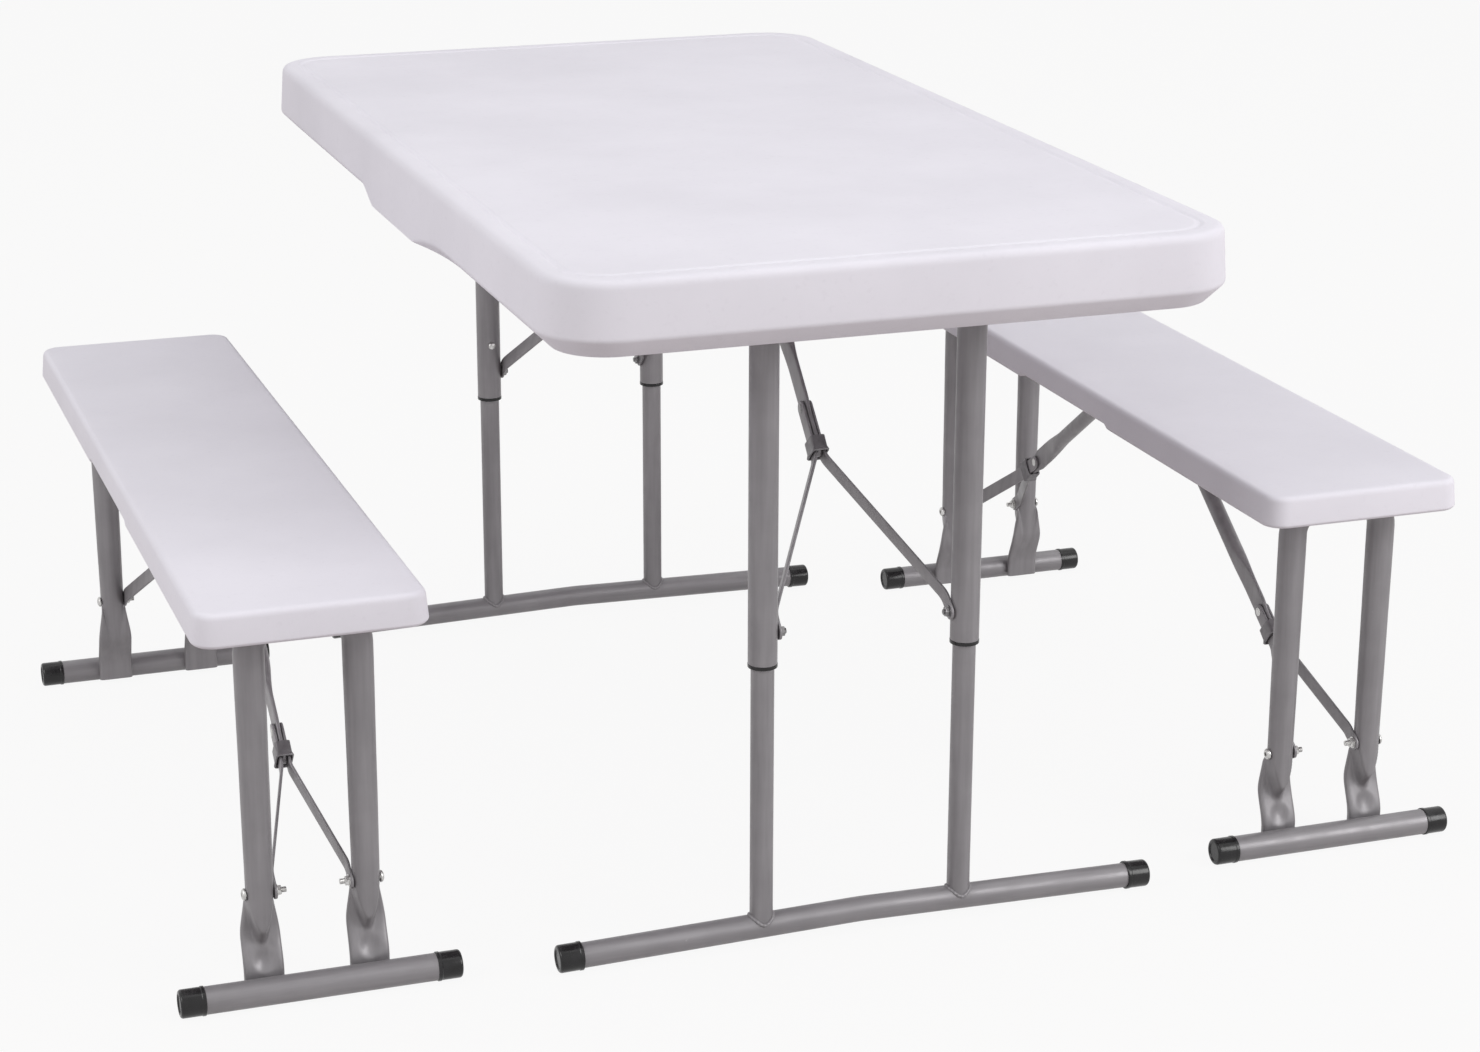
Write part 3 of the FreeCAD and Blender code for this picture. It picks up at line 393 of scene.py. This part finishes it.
class Shape:
    """Vertices and faces of one piece, gathered from lofts in a local frame."""

    def __init__(self, place=Matrix()):
        self.place = place
        self.verts = []
        self.faces = []

    def loft(self, rings, closed=False):
        """Skin over rings of equal count; the first and last ring are capped unless the loft is closed."""
        start = len(self.verts)
        count = len(rings[0])
        for ring in rings:
            self.verts += [self.place @ Vector(point) for point in ring]
        for row in range(len(rings) if closed else len(rings) - 1):
            this = start + row * count
            below = start + (row + 1) % len(rings) * count
            for column in range(count):
                after = (column + 1) % count
                self.faces.append((this + column, this + after, below + after, below + column))
        if not closed:
            end = start + (len(rings) - 1) * count
            self.faces.append(tuple(range(start + count - 1, start - 1, -1)))
            self.faces.append(tuple(range(end, end + count)))
        return self

    def turned(self, profile, base, axis, steps=28):
        """Body of revolution: a profile of (along, radius) turned about an axis from a base point."""
        axis = Vector(axis).normalized()
        side = axis.orthogonal().normalized()
        other = axis.cross(side)
        rings = []
        for along, radius in profile:
            centre = Vector(base) + axis * along
            rings.append([centre + (side * math.cos(a) + other * math.sin(a)) * max(radius, LEAST_RADIUS)
                          for a in turn_steps(steps)])
        return self.loft(rings)

    def piece(self, name, body, slot, *stands_for, sharp=40, finish=None):
        """New piece of the part from the gathered faces, riding on a body in place of CAD nodes."""
        mesh = bpy.data.meshes.new(name)
        mesh.from_pydata([tuple(vert) for vert in self.verts], [], self.faces)
        work = bmesh.new()
        work.from_mesh(mesh)
        bmesh.ops.remove_doubles(work, verts=work.verts, dist=MERGE_REACH)
        bmesh.ops.recalc_face_normals(work, faces=work.faces)
        work.to_mesh(mesh)
        work.free()
        mesh.shade_smooth()
        mesh.set_sharp_from_angle(angle=math.radians(sharp))
        mesh.materials.append(finish or FINISHES[slot])
        obj = bpy.data.objects.new(name, mesh)
        bpy.context.scene.collection.objects.link(obj)
        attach(obj, body)
        if stands_for:
            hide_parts(*stands_for)


# Moulded tops

def moulded_top(name, body, corner, section, lift):
    """Top lofted from a section line carried round a rounded rectangle; lift(y) shapes the long sides."""
    low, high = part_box(name)
    centre = (low + high) / 2
    half_x, half_y = (high.x - low.x) / 2, (high.y - low.y) / 2
    long_marks = spread(corner - half_y, half_y - corner, LONG_STEPS)
    short_marks = spread(corner - half_x, half_x - corner, SHORT_STEPS)
    columns = []
    for x, y, on_long in rounded_loop(half_x, half_y, corner, long_marks, short_marks):
        level = round(lift(y), 3) if on_long else 0.0
        column = []
        for point in section(level, low.z, high.z):
            in_x, in_y = inward(x, y, half_x, half_y, corner, point.x)
            column.append((centre.x + in_x, centre.y + in_y, point.y))
        columns.append(column)
    Shape().loft(list(zip(*columns))).piece(name + "_moulding", body, "white_plastic", name, sharp=50)


def inward(x, y, half_x, half_y, corner, inset):
    """Point of the outline moved in by an inset, square to the outline."""
    core_x = min(half_x - corner, max(corner - half_x, x))
    core_y = min(half_y - corner, max(corner - half_y, y))
    share = 1 - inset / corner
    return core_x + (x - core_x) * share, core_y + (y - core_y) * share


def table_section(hump, bottom, top):
    """Section of the table top from its upper face round the skirt to the tray's ceiling."""
    bevel = TABLE_BEVEL * (1 - hump) + TABLE_LEAST_BEVEL
    ceiling = top - TABLE_PANEL
    bed = top - GROOVE_DEEP
    return rounded_line([
        (TABLE_REACH, top, 0.0),
        (GROOVE_INSET + GROOVE_MOUTH, top, GROOVE_MOUTH_ROUND),
        (GROOVE_INSET + GROOVE_BED, bed, GROOVE_BED_ROUND),
        (GROOVE_INSET - GROOVE_BED, bed, GROOVE_BED_ROUND),
        (GROOVE_INSET - GROOVE_MOUTH, top, GROOVE_MOUTH_ROUND),
        (TABLE_DRAFT, top, TABLE_EDGE),
        (0.0, bottom + bevel, TABLE_SKIRT_ROUND),
        (bevel, bottom, TABLE_FOOT_ROUND),
        (TABLE_RIM, bottom, TABLE_FOOT_ROUND),
        (TABLE_RIM, ceiling, TABLE_TRAY_ROUND),
        (TABLE_REACH, ceiling, 0.0)])


def seat_section(notch, bottom, top):
    """Section of a bench seat from its upper face round the skirt to the tray's ceiling."""
    low = bottom + NOTCH_RISE * notch
    ceiling = top - SEAT_PANEL
    return rounded_line([
        (SEAT_REACH, top, 0.0),
        (SEAT_DRAFT, top, SEAT_EDGE),
        (0.0, low + SEAT_BEVEL, SEAT_SKIRT_ROUND),
        (SEAT_BEVEL, low, SEAT_SKIRT_ROUND),
        (SEAT_RIM, low, SEAT_TRAY_ROUND),
        (SEAT_RIM, ceiling, SEAT_TRAY_ROUND),
        (SEAT_REACH, ceiling, 0.0)])


def table_hump(y):
    """Depth of the apron along a long side: a scoop at its near end, a short ramp at its far end."""
    if y < HUMP_FLAT_NEAR:
        return max(0.0, (y - HUMP_NEAR) / (HUMP_FLAT_NEAR - HUMP_NEAR)) ** 2
    return 1.0 - smooth((y - HUMP_FLAT_FAR) / (HUMP_FAR - HUMP_FLAT_FAR))


def seat_notch(y):
    """Height of the shallow notch in the middle of a seat's long side."""
    return 1.0 - smooth((abs(y) - NOTCH_HALF) / NOTCH_SLOPE)


# Folding braces

class Brace:
    """Local frame of one brace: X across, Y from leg to top, Z towards the hinge; origin at the leg bolt."""

    def __init__(self, prefix):
        self.prefix = prefix
        self.kind = "table" if prefix in ENDS else "bench"
        leg = Vector(joints[f"{prefix}_rods_pivot"]["pos_m"])
        top = Vector(joints[f"{prefix}_strut_pivot"]["pos_m"])
        across = Vector(joints[f"{prefix}_fold"]["axis"])
        along = (top - leg).normalized()
        turn = Matrix((across, along, across.cross(along))).transposed()
        self.place = Matrix.Translation(leg) @ turn.to_4x4()
        self.length = (top - leg).length
        # The two halves of the brace lie along each other when the leg is folded
        self.joint = (self.length - abs(top.y - leg.y) + top.z - leg.z) / 2
        self.clip = self.joint - CLIP_DROP[self.kind]
        self.paddle = self.joint + PADDLE_LENGTH[self.kind]
        low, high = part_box(f"{prefix}_brace_rods")
        self.tab = (high.x - low.x) / 2

    def strut(self):
        """Tube from the top to the middle joint, pressed to a broad paddle there and flat at the ear."""
        tongue = self.clip - STRUT_PAST_CLIP
        tip, end = tongue - TONGUE_DEEP, self.length + STRUT_END_DEEP
        tube, tube_end = self.paddle + PADDLE_TAPER, self.length - STRUT_FLAT_FROM
        ear = self.length - STRUT_FLAT_TO
        thick = ((self.paddle, STRUT_HALF), (tube, STRUT_ROUND),
                 (tube_end, STRUT_ROUND), (ear, STRUT_END_HALF))
        wide = ((self.joint - PADDLE_RISE, TONGUE_DEEP), (self.joint + PADDLE_RISE, PADDLE_DEEP),
                (self.paddle, PADDLE_DEEP), (tube, STRUT_ROUND),
                (tube_end, STRUT_ROUND), (ear, STRUT_END_DEEP))
        power = ((self.paddle, FLAT_POWER), (tube, ROUND_POWER),
                 (tube_end, ROUND_POWER), (ear, FLAT_POWER))
        swing = quarter_turn(STRUT_END_STEPS)
        marks = [tip + TONGUE_DEEP * (1 - math.cos(angle)) for angle in swing]
        marks += spread(tongue + STRUT_END_GAP, self.length - STRUT_END_GAP, STRUT_STEPS)
        marks += [end - STRUT_END_DEEP * (1 - math.cos(angle)) for angle in reversed(swing)]
        rings = []
        for along in marks:
            past = max((tongue - along) / TONGUE_DEEP, (along - self.length) / STRUT_END_DEEP, 0.0)
            half_z = eased(along, wide) * math.sqrt(max(0.0, 1 - past ** 2))
            rings.append(oval(eased(along, thick), max(half_z, STRUT_TIP_HALF), along, eased(along, power)))
        Shape(self.place).loft(rings).piece(
            f"{self.prefix}_strut_tube", f"{self.prefix}_strut", "grey_paint", f"{self.prefix}_brace_strut",
            sharp=50)

    def lock(self):
        """Loose sheet-metal ring round rods and strut, with a turned-out lip at its lower end."""
        half = CLIP_LENGTH / 2
        crest = CLIP_WALL + LIP_OUT
        outside = ((CLIP_WALL, LIP_START - half), (crest, LIP_CREST - half), (crest - CLIP_EDGE, -half))
        throat = LIP_THROAT_SHARE * LIP_OUT
        inside = ((LIP_OUT, -half), (throat, LIP_THROAT - half), (0.0, LIP_START - half))
        upper = ((0.0, half), (CLIP_WALL - CLIP_EDGE, half), (CLIP_WALL, half - CLIP_EDGE))
        rings = [oval(CLIP_HALF_X + out, CLIP_HALF_Z + out, along, CLIP_POWER, steps=64)
                 for out, along in outside + inside + upper]
        tilt = Matrix.Translation((0, self.clip, 0)) @ Matrix.Rotation(CLIP_TILT, 4, "X")
        Shape(self.place @ tilt).loft(rings, closed=True).piece(
            f"{self.prefix}_lock_ring", f"{self.prefix}_clip", "dark_steel", f"{self.prefix}_lock_clip",
            sharp=35)

    def rods(self):
        """Two flat bars from the leg bolts to the middle rivet, bent parallel at both ends."""
        round_end = ROD_WIDE / 2
        leg_x, joint_x = self.tab - ROD_THICK / 2, ROD_GAP + ROD_THICK / 2
        bent = rounded_line([(leg_x, -round_end, 0), (leg_x, ROD_TAB, ROD_BEND),
                             (joint_x, self.joint - ROD_STRAIGHT[self.kind], ROD_BEND),
                             (joint_x, self.joint + round_end, 0)])
        swing = quarter_turn()
        tip = [Vector((leg_x, -round_end * math.cos(angle))) for angle in swing[:-1]]
        top = [Vector((joint_x, self.joint + round_end * math.sin(angle))) for angle in swing[1:]]
        path = tip + bent[1:-1] + top
        shape = Shape(self.place)
        for sign in SIDES:
            rings = []
            for before, point, after in zip(path[:1] + path, path, path[1:] + path[-1:]):
                ahead = (after - before).normalized()
                out = Vector((ahead.y, -ahead.x))
                past = max(-point.y, point.y - self.joint, 0.0)
                half = max(math.sqrt(max(0.0, round_end ** 2 - past ** 2)), ROD_TIP_HALF)
                rings.append([Vector((sign * (point.x + out.x * x), point.y + out.y * x, z))
                              for x, z in bar_section(ROD_THICK / 2, half)])
            shape.loft(rings)
        shape.piece(f"{self.prefix}_rod_bars", f"{self.prefix}_rods", "grey_paint",
                    f"{self.prefix}_brace_rods", sharp=40)

    def fasteners(self):
        """Rivet with domed heads, leg bolts with washers and nuts, and the bench bolts' socket heads."""
        rod_face = self.tab - ROD_THICK
        rivet = dome(RIVET_HEAD, RIVET_HEAD_THICK)
        washer = ((0.0, 0.0), (0.0, WASHER_RADIUS), (WASHER_THICK, WASHER_RADIUS), (WASHER_THICK, 0.0))
        tip = threaded_tip(NUT_THICK, BOLT_TIP[self.kind])
        shape = Shape(self.place)
        for sign in SIDES:
            outward = (sign, 0, 0)
            shape.turned(rivet, (sign * (ROD_GAP + ROD_THICK), self.joint, 0), outward)
            shape.loft(hexagon(sign * rod_face, -sign * NUT_THICK))
            shape.turned(washer, (sign * (rod_face - WASHER_THICK), 0, 0), outward)
            shape.turned(tip, (sign * rod_face, 0, 0), (-sign, 0, 0))
            if self.kind == "bench":
                low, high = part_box(f"{self.prefix}_brace_fasteners")
                head_face = (high.x - low.x) / 2 - BOLT_HEAD_THICK
                shape.turned(socket_bolt(), (sign * head_face, 0, 0), outward)
        shape.piece(f"{self.prefix}_brace_bolts", f"{self.prefix}_rods", "zinc_steel",
                    f"{self.prefix}_brace_fasteners", sharp=35,
                    finish=DARKER_ZINC if self.kind == "table" else None)


def dome(radius, height):
    """Profile of a low domed head with a short straight side."""
    side = HEAD_SIDE_SHARE * height
    crown = [(side + (height - side) * math.sin(angle), radius * math.cos(angle))
             for angle in quarter_turn()]
    return [(0.0, 0.0), (0.0, radius)] + crown


def socket_bolt():
    """Profile of a bolt's end with a domed head and a round socket in its crown."""
    shank = [(-BOLT_SUNK, BOLT_RADIUS), (0.0, BOLT_RADIUS)]
    head = dome(BOLT_HEAD, BOLT_HEAD_THICK)
    crown = [(along, radius) for along, radius in head if radius > BOLT_SOCKET]
    rim = crown[-1][0]
    deep = SOCKET_FLOOR * rim
    socket = [(rim, BOLT_SOCKET), (deep, SOCKET_TAPER * BOLT_SOCKET), (deep, 0.0)]
    return shank + crown + socket


def threaded_tip(start, length):
    """Profile of a bolt's end past its nut, with thread grooves and a chamfer."""
    line = [(0.0, BOLT_RADIUS)]
    for number in range(int(length / THREAD_PITCH)):
        ridge = start + THREAD_PITCH * number
        line += [(ridge, BOLT_RADIUS), (ridge + THREAD_PITCH / 2, BOLT_RADIUS - THREAD_DEEP)]
    end = start + length
    return line + [(end - THREAD_DEEP, BOLT_RADIUS), (end, BOLT_RADIUS - 2 * THREAD_DEEP), (end, 0.0)]


def bar_section(half_thick, half_wide, steps=4):
    """Section of a flat bar with small rounded edges, as (across, along the width)."""
    edge = min(ROD_EDGE, ROD_EDGE_SHARE * half_thick, ROD_EDGE_SHARE * half_wide)
    points = []
    for quarter, (sign_x, sign_z) in enumerate(QUARTERS):
        for number in range(steps + 1):
            angle = math.pi / 2 * (quarter + number / steps)
            points.append((sign_x * (half_thick - edge) + edge * math.cos(angle),
                           sign_z * (half_wide - edge) + edge * math.sin(angle)))
    return points


def hexagon(start, reach):
    """Rings of a hexagon nut with chamfered corners, from one face along X."""
    rings = []
    for share, radius in NUT_PROFILE:
        rings.append([(start + reach * share, NUT_RADIUS * radius * math.cos(angle),
                       NUT_RADIUS * radius * math.sin(angle)) for angle in turn_steps(6)])
    return rings


# Feet: weld beads where the table's lower legs stand on the foot bars, and caps on all bars

def foot_bar(prefix):
    """Radius of a foot bar, its fall per metre towards the ends and its axis height in the middle."""
    bent = prefix in ENDS
    low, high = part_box(f"{prefix}_foot_bar" if bent else f"{prefix}_foot_tube")
    radius = (high.y - low.y) / 2
    fall = (high.z - low.z - 2 * radius) / high.x if bent else 0.0
    return radius, fall, high.z - radius


def weld_bead(shape, foot, leg_radius, bar_radius):
    """Rippled bead where an upright tube meets a level bar whose axis passes the foot point."""
    rings = []
    for angle in turn_steps(BEAD_STEPS):
        outward = Vector((math.cos(angle), math.sin(angle), 0))
        x, y = leg_radius * math.cos(angle), leg_radius * math.sin(angle)
        point = foot + Vector((x, y, math.sqrt(bar_radius ** 2 - y ** 2)))
        radius = BEAD_RADIUS * (1 + BEAD_RIPPLE * math.sin(BEAD_RIPPLES * angle))
        rings.append([point + (outward * math.cos(a) + Vector((0, 0, 1)) * math.sin(a)) * radius
                      for a in turn_steps(BEAD_SIDES)])
    shape.loft(rings, closed=True)


def foot_welds(end):
    """Beads at the feet of one table end's two lower legs."""
    low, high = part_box(f"{end}_lower_legs")
    leg_radius = (high.y - low.y) / 2
    reach = high.x - leg_radius
    bar_radius, fall, axis_height = foot_bar(end)
    beads = Shape()
    for sign in SIDES:
        foot = Vector((sign * reach, (low.y + high.y) / 2, axis_height - reach * fall))
        weld_bead(beads, foot, leg_radius, bar_radius)
    beads.piece(f"{end}_foot_welds", f"{end}_lower", "grey_paint", sharp=60)


def cap_profile(tube_radius):
    """Profile of a cup from its beaded mouth over a rounded edge to the middle of its dished end."""
    body = CAP_RADIUS - CAP_BEAD
    dish = body - CAP_BEND
    line = [(0.0, tube_radius - CAP_TUCK), (0.0, body), (CAP_BEAD, CAP_RADIUS),
            (CAP_BEAD_WIDE - CAP_CHAMFER, CAP_RADIUS), (CAP_BEAD_WIDE, body)]
    for angle in quarter_turn():
        line.append((CAP_LENGTH - CAP_BEND * (1 - math.sin(angle)),
                     body - CAP_BEND * (1 - math.cos(angle))))
    deep = CAP_LENGTH - CAP_DISH
    return line + [(CAP_LENGTH, dish - CAP_CHAMFER), (deep, dish - CAP_CHAMFER - CAP_DISH), (deep, 0.0)]


def foot_caps(prefix):
    """Two caps on the ends of a foot bar."""
    low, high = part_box(f"{prefix}_foot_caps")
    middle = (low + high) / 2
    bar_radius, fall, _ = foot_bar(prefix)
    reach = (high.x - low.x) / 2 - CAP_RADIUS * fall
    caps = Shape()
    for sign in SIDES:
        outward = Vector((sign, 0, -fall)).normalized()
        tip = Vector((middle.x + sign * reach, middle.y, CAP_RADIUS))
        caps.turned(cap_profile(bar_radius), tip - outward * CAP_LENGTH, outward, steps=48)
    body = f"{prefix}_lower" if prefix in ENDS else f"{prefix}_legs"
    caps.piece(f"{prefix}_end_caps", body, "dark_plastic", f"{prefix}_foot_caps", sharp=35)


# Bench legs: a tube bent to a U whose lower ends are pressed flat to the back, ridged and dented

def leg_ring(centre, outward, half_side, height=math.inf):
    """Ring of the bench tube at a height: outward points away from the U, Y is its depth."""
    ring = []
    for angle in turn_steps(LEG_SIDES):
        side = half_side * math.cos(angle)
        rounded = BENCH_TUBE * math.sqrt(max(0.0, 1 - (side / min(half_side, BENCH_WIDEST)) ** 2))
        pressed = TAIL_HALF * (1 - abs(math.cos(angle)) ** TAIL_POWER) ** 0.5
        ridge = RIDGE_POINT + RIDGE_RISE * (abs(side) / RIDGE_WIDE) ** RIDGE_POWER
        share = smooth((height - ridge) / RIDGE_SLOPE)
        middle = eased(height, PRESS_WAY) * (1 - share)
        deep = pressed + (rounded - pressed) * share
        if math.sin(angle) < 0:
            away = ((height - DENT_HEIGHT) / DENT_TALL) ** 2 + (side / DENT_WIDE) ** 2
            deep -= DENT_DEEP * max(0.0, 1 - away) ** 2
        ring.append(centre + outward * side + Vector((0, middle + math.copysign(deep, math.sin(angle)), 0)))
    return ring


def upright_rings(sign, heights):
    """Rings of one leg of the U at a list of heights."""
    outward = Vector((sign, 0, 0))
    return [leg_ring(Vector((sign * BENCH_SPREAD, 0, z)), outward, eased(z, LEG_WIDTHS), z)
            for z in heights]


def bench_legs(prefix):
    """Leg tube of one bench end, from foot to foot over its two bends."""
    fold = joints[f"{prefix}_fold"]
    hinge = Vector(fold["pos_m"])
    half_turn = 0 if fold["axis"][0] > 0 else math.pi
    place = Matrix.Translation((hinge.x, hinge.y, 0)) @ Matrix.Rotation(half_turn, 4, "Z")
    shoulder = hinge.z - BENCH_BEND
    heights = spread(TAIL_BOTTOM, TAIL_TOP, TAIL_STEPS)
    heights += spread(TAIL_TOP + RING_PITCH, RIDGE_TOP, RIDGE_STEPS)
    heights += spread(RIDGE_TOP + 4 * RING_PITCH, shoulder, UPPER_STEPS)
    inner = BENCH_SPREAD - BENCH_BEND
    width = LEG_WIDTHS[-1][1]
    bend = quarter_turn(BEND_STEPS)[1:]
    rings = upright_rings(-1, heights)
    for sign, angles in ((-1, bend), (1, bend[::-1])):
        for angle in angles:
            outward = Vector((sign * math.cos(angle), 0, math.sin(angle)))
            centre = Vector((sign * inner, 0, shoulder)) + outward * BENCH_BEND
            half = width + (BENCH_TUBE - width) * angle / (math.pi / 2)
            rings.append(leg_ring(centre, outward, half))
    rings += upright_rings(1, heights[::-1])
    Shape(place).loft(rings).piece(f"{prefix}_leg_tube", f"{prefix}_legs", "grey_paint", f"{prefix}_legs",
                                   sharp=60)


# CAD nodes that stay

def dress_kept_nodes():
    """Finishes, soft shading and small edge breaks."""
    slots = {part["node"]: part["material_slot"] for part in record["subparts"]}
    for name, node in nodes.items():
        if node.hide_render:
            continue
        mesh = node.data
        mesh.materials.clear()
        level = name.endswith(("foot_bar", "foot_tube"))
        mesh.materials.append(LEVEL_PAINT if level else FINISHES[slots[name]])
        if name.endswith(("brackets", "fasteners", "collars")):
            mesh.attributes.remove(mesh.attributes["custom_normal"])
            mesh.shade_smooth()
            weld = node.modifiers.new("weld", "WELD")
            weld.merge_threshold = WELD_REACH
            edges = node.modifiers.new("edge_break", "BEVEL")
            edges.width = EDGE_BREAK
            edges.segments = 2
            edges.limit_method = "ANGLE"
            edges.angle_limit = SMOOTH_ANGLE
            edges.harden_normals = True


# Stage: pale floor, studio light and the photograph's camera

def seen_directly(tree):
    """Socket that is 1 for rays from the camera, a reflection or a clear pane."""
    path = tree.nodes.new("ShaderNodeLightPath")
    value = path.outputs["Is Camera Ray"]
    for ray in ("Is Glossy Ray", "Is Transmission Ray"):
        either = tree.nodes.new("ShaderNodeMath")
        either.operation = "MAXIMUM"
        tree.links.new(value, either.inputs[0])
        tree.links.new(path.outputs[ray], either.inputs[1])
        value = either.outputs[0]
    return value


def floor_material():
    """Diffuse ground that the camera and reflections see as nearly white."""
    material = bpy.data.materials.new("pale_floor")
    material.use_nodes = True
    tree = material.node_tree
    tree.nodes.clear()
    output = tree.nodes.new("ShaderNodeOutputMaterial")
    ground = tree.nodes.new("ShaderNodeBsdfDiffuse")
    ground.inputs["Color"].default_value = FLOOR_COLOUR
    glow = tree.nodes.new("ShaderNodeEmission")
    glow.inputs["Strength"].default_value = 1.0
    share = tree.nodes.new("ShaderNodeMath")
    share.operation = "MULTIPLY"
    share.inputs[1].default_value = FLOOR_WHITE_SHARE
    mix = tree.nodes.new("ShaderNodeMixShader")
    tree.links.new(seen_directly(tree), share.inputs[0])
    tree.links.new(share.outputs[0], mix.inputs["Fac"])
    tree.links.new(ground.outputs[0], mix.inputs[1])
    tree.links.new(glow.outputs[0], mix.inputs[2])
    tree.links.new(mix.outputs[0], output.inputs["Surface"])
    return material


def floor():
    mesh = bpy.data.meshes.new("floor")
    corners = [(x * FLOOR_REACH, y * FLOOR_REACH, 0) for x, y in ((-1, -1), (1, -1), (1, 1), (-1, 1))]
    mesh.from_pydata(corners, [], [(0, 1, 2, 3)])
    mesh.materials.append(floor_material())
    obj = bpy.data.objects.new("floor", mesh)
    bpy.context.scene.collection.objects.link(obj)


def studio_world():
    """Even surrounding light; the camera and reflections see it as white."""
    world = bpy.data.worlds.new("studio")
    world.use_nodes = True
    tree = world.node_tree
    background = tree.nodes["Background"]
    background.inputs["Color"].default_value = grey(1)
    strength = tree.nodes.new("ShaderNodeMapRange")
    strength.inputs["To Min"].default_value = AMBIENT
    strength.inputs["To Max"].default_value = 1.0
    tree.links.new(seen_directly(tree), strength.inputs["Value"])
    tree.links.new(strength.outputs["Result"], background.inputs["Strength"])
    bpy.context.scene.world = world


def soft_box(name, place, target, side, watts):
    light = bpy.data.lights.new(name, "AREA")
    light.shape = "RECTANGLE"
    light.size = side
    light.size_y = side
    light.energy = watts
    obj = bpy.data.objects.new(name, light)
    obj.location = place
    obj.rotation_euler = (Vector(target) - Vector(place)).to_track_quat("-Z", "Y").to_euler()
    bpy.context.scene.collection.objects.link(obj)


def camera():
    data = bpy.data.cameras.new("camera")
    data.sensor_width = SENSOR_WIDTH
    data.lens = FOCAL_PIXELS * SENSOR_WIDTH / PICTURE_WIDTH
    data.clip_start, data.clip_end = 0.1, 150.0
    ahead = Vector((math.sin(CAMERA_YAW) * math.cos(CAMERA_PITCH),
                    math.cos(CAMERA_YAW) * math.cos(CAMERA_PITCH),
                    math.sin(CAMERA_PITCH)))
    level = Vector((math.cos(CAMERA_YAW), -math.sin(CAMERA_YAW), 0.0))
    up = level.cross(ahead)
    right = math.cos(CAMERA_ROLL) * level + math.sin(CAMERA_ROLL) * up
    raised = math.cos(CAMERA_ROLL) * up - math.sin(CAMERA_ROLL) * level
    turn = Matrix((right, raised, -ahead)).transposed().to_4x4()
    obj = bpy.data.objects.new("camera", data)
    obj.matrix_world = Matrix.Translation(CAMERA_PLACE) @ turn
    bpy.context.scene.collection.objects.link(obj)
    bpy.context.scene.camera = obj


# Build

moulded_top("table_top", "table", TABLE_CORNER, table_section, table_hump)
for bench in BENCHES:
    moulded_top(f"{bench}_seat", bench, SEAT_CORNER, seat_section, seat_notch)
for prefix in FOLD_SETS:
    brace = Brace(prefix)
    brace.strut()
    brace.lock()
    brace.rods()
    brace.fasteners()
for end in ENDS:
    foot_welds(end)
for prefix in BENCH_ENDS:
    bench_legs(prefix)
for prefix in FOLD_SETS:
    foot_caps(prefix)
dress_kept_nodes()

floor()
studio_world()
for name, (place, target, side, watts) in SOFT_BOXES.items():
    soft_box(name, place, target, side, watts)
camera()
bpy.context.scene.view_settings.view_transform = "Standard"
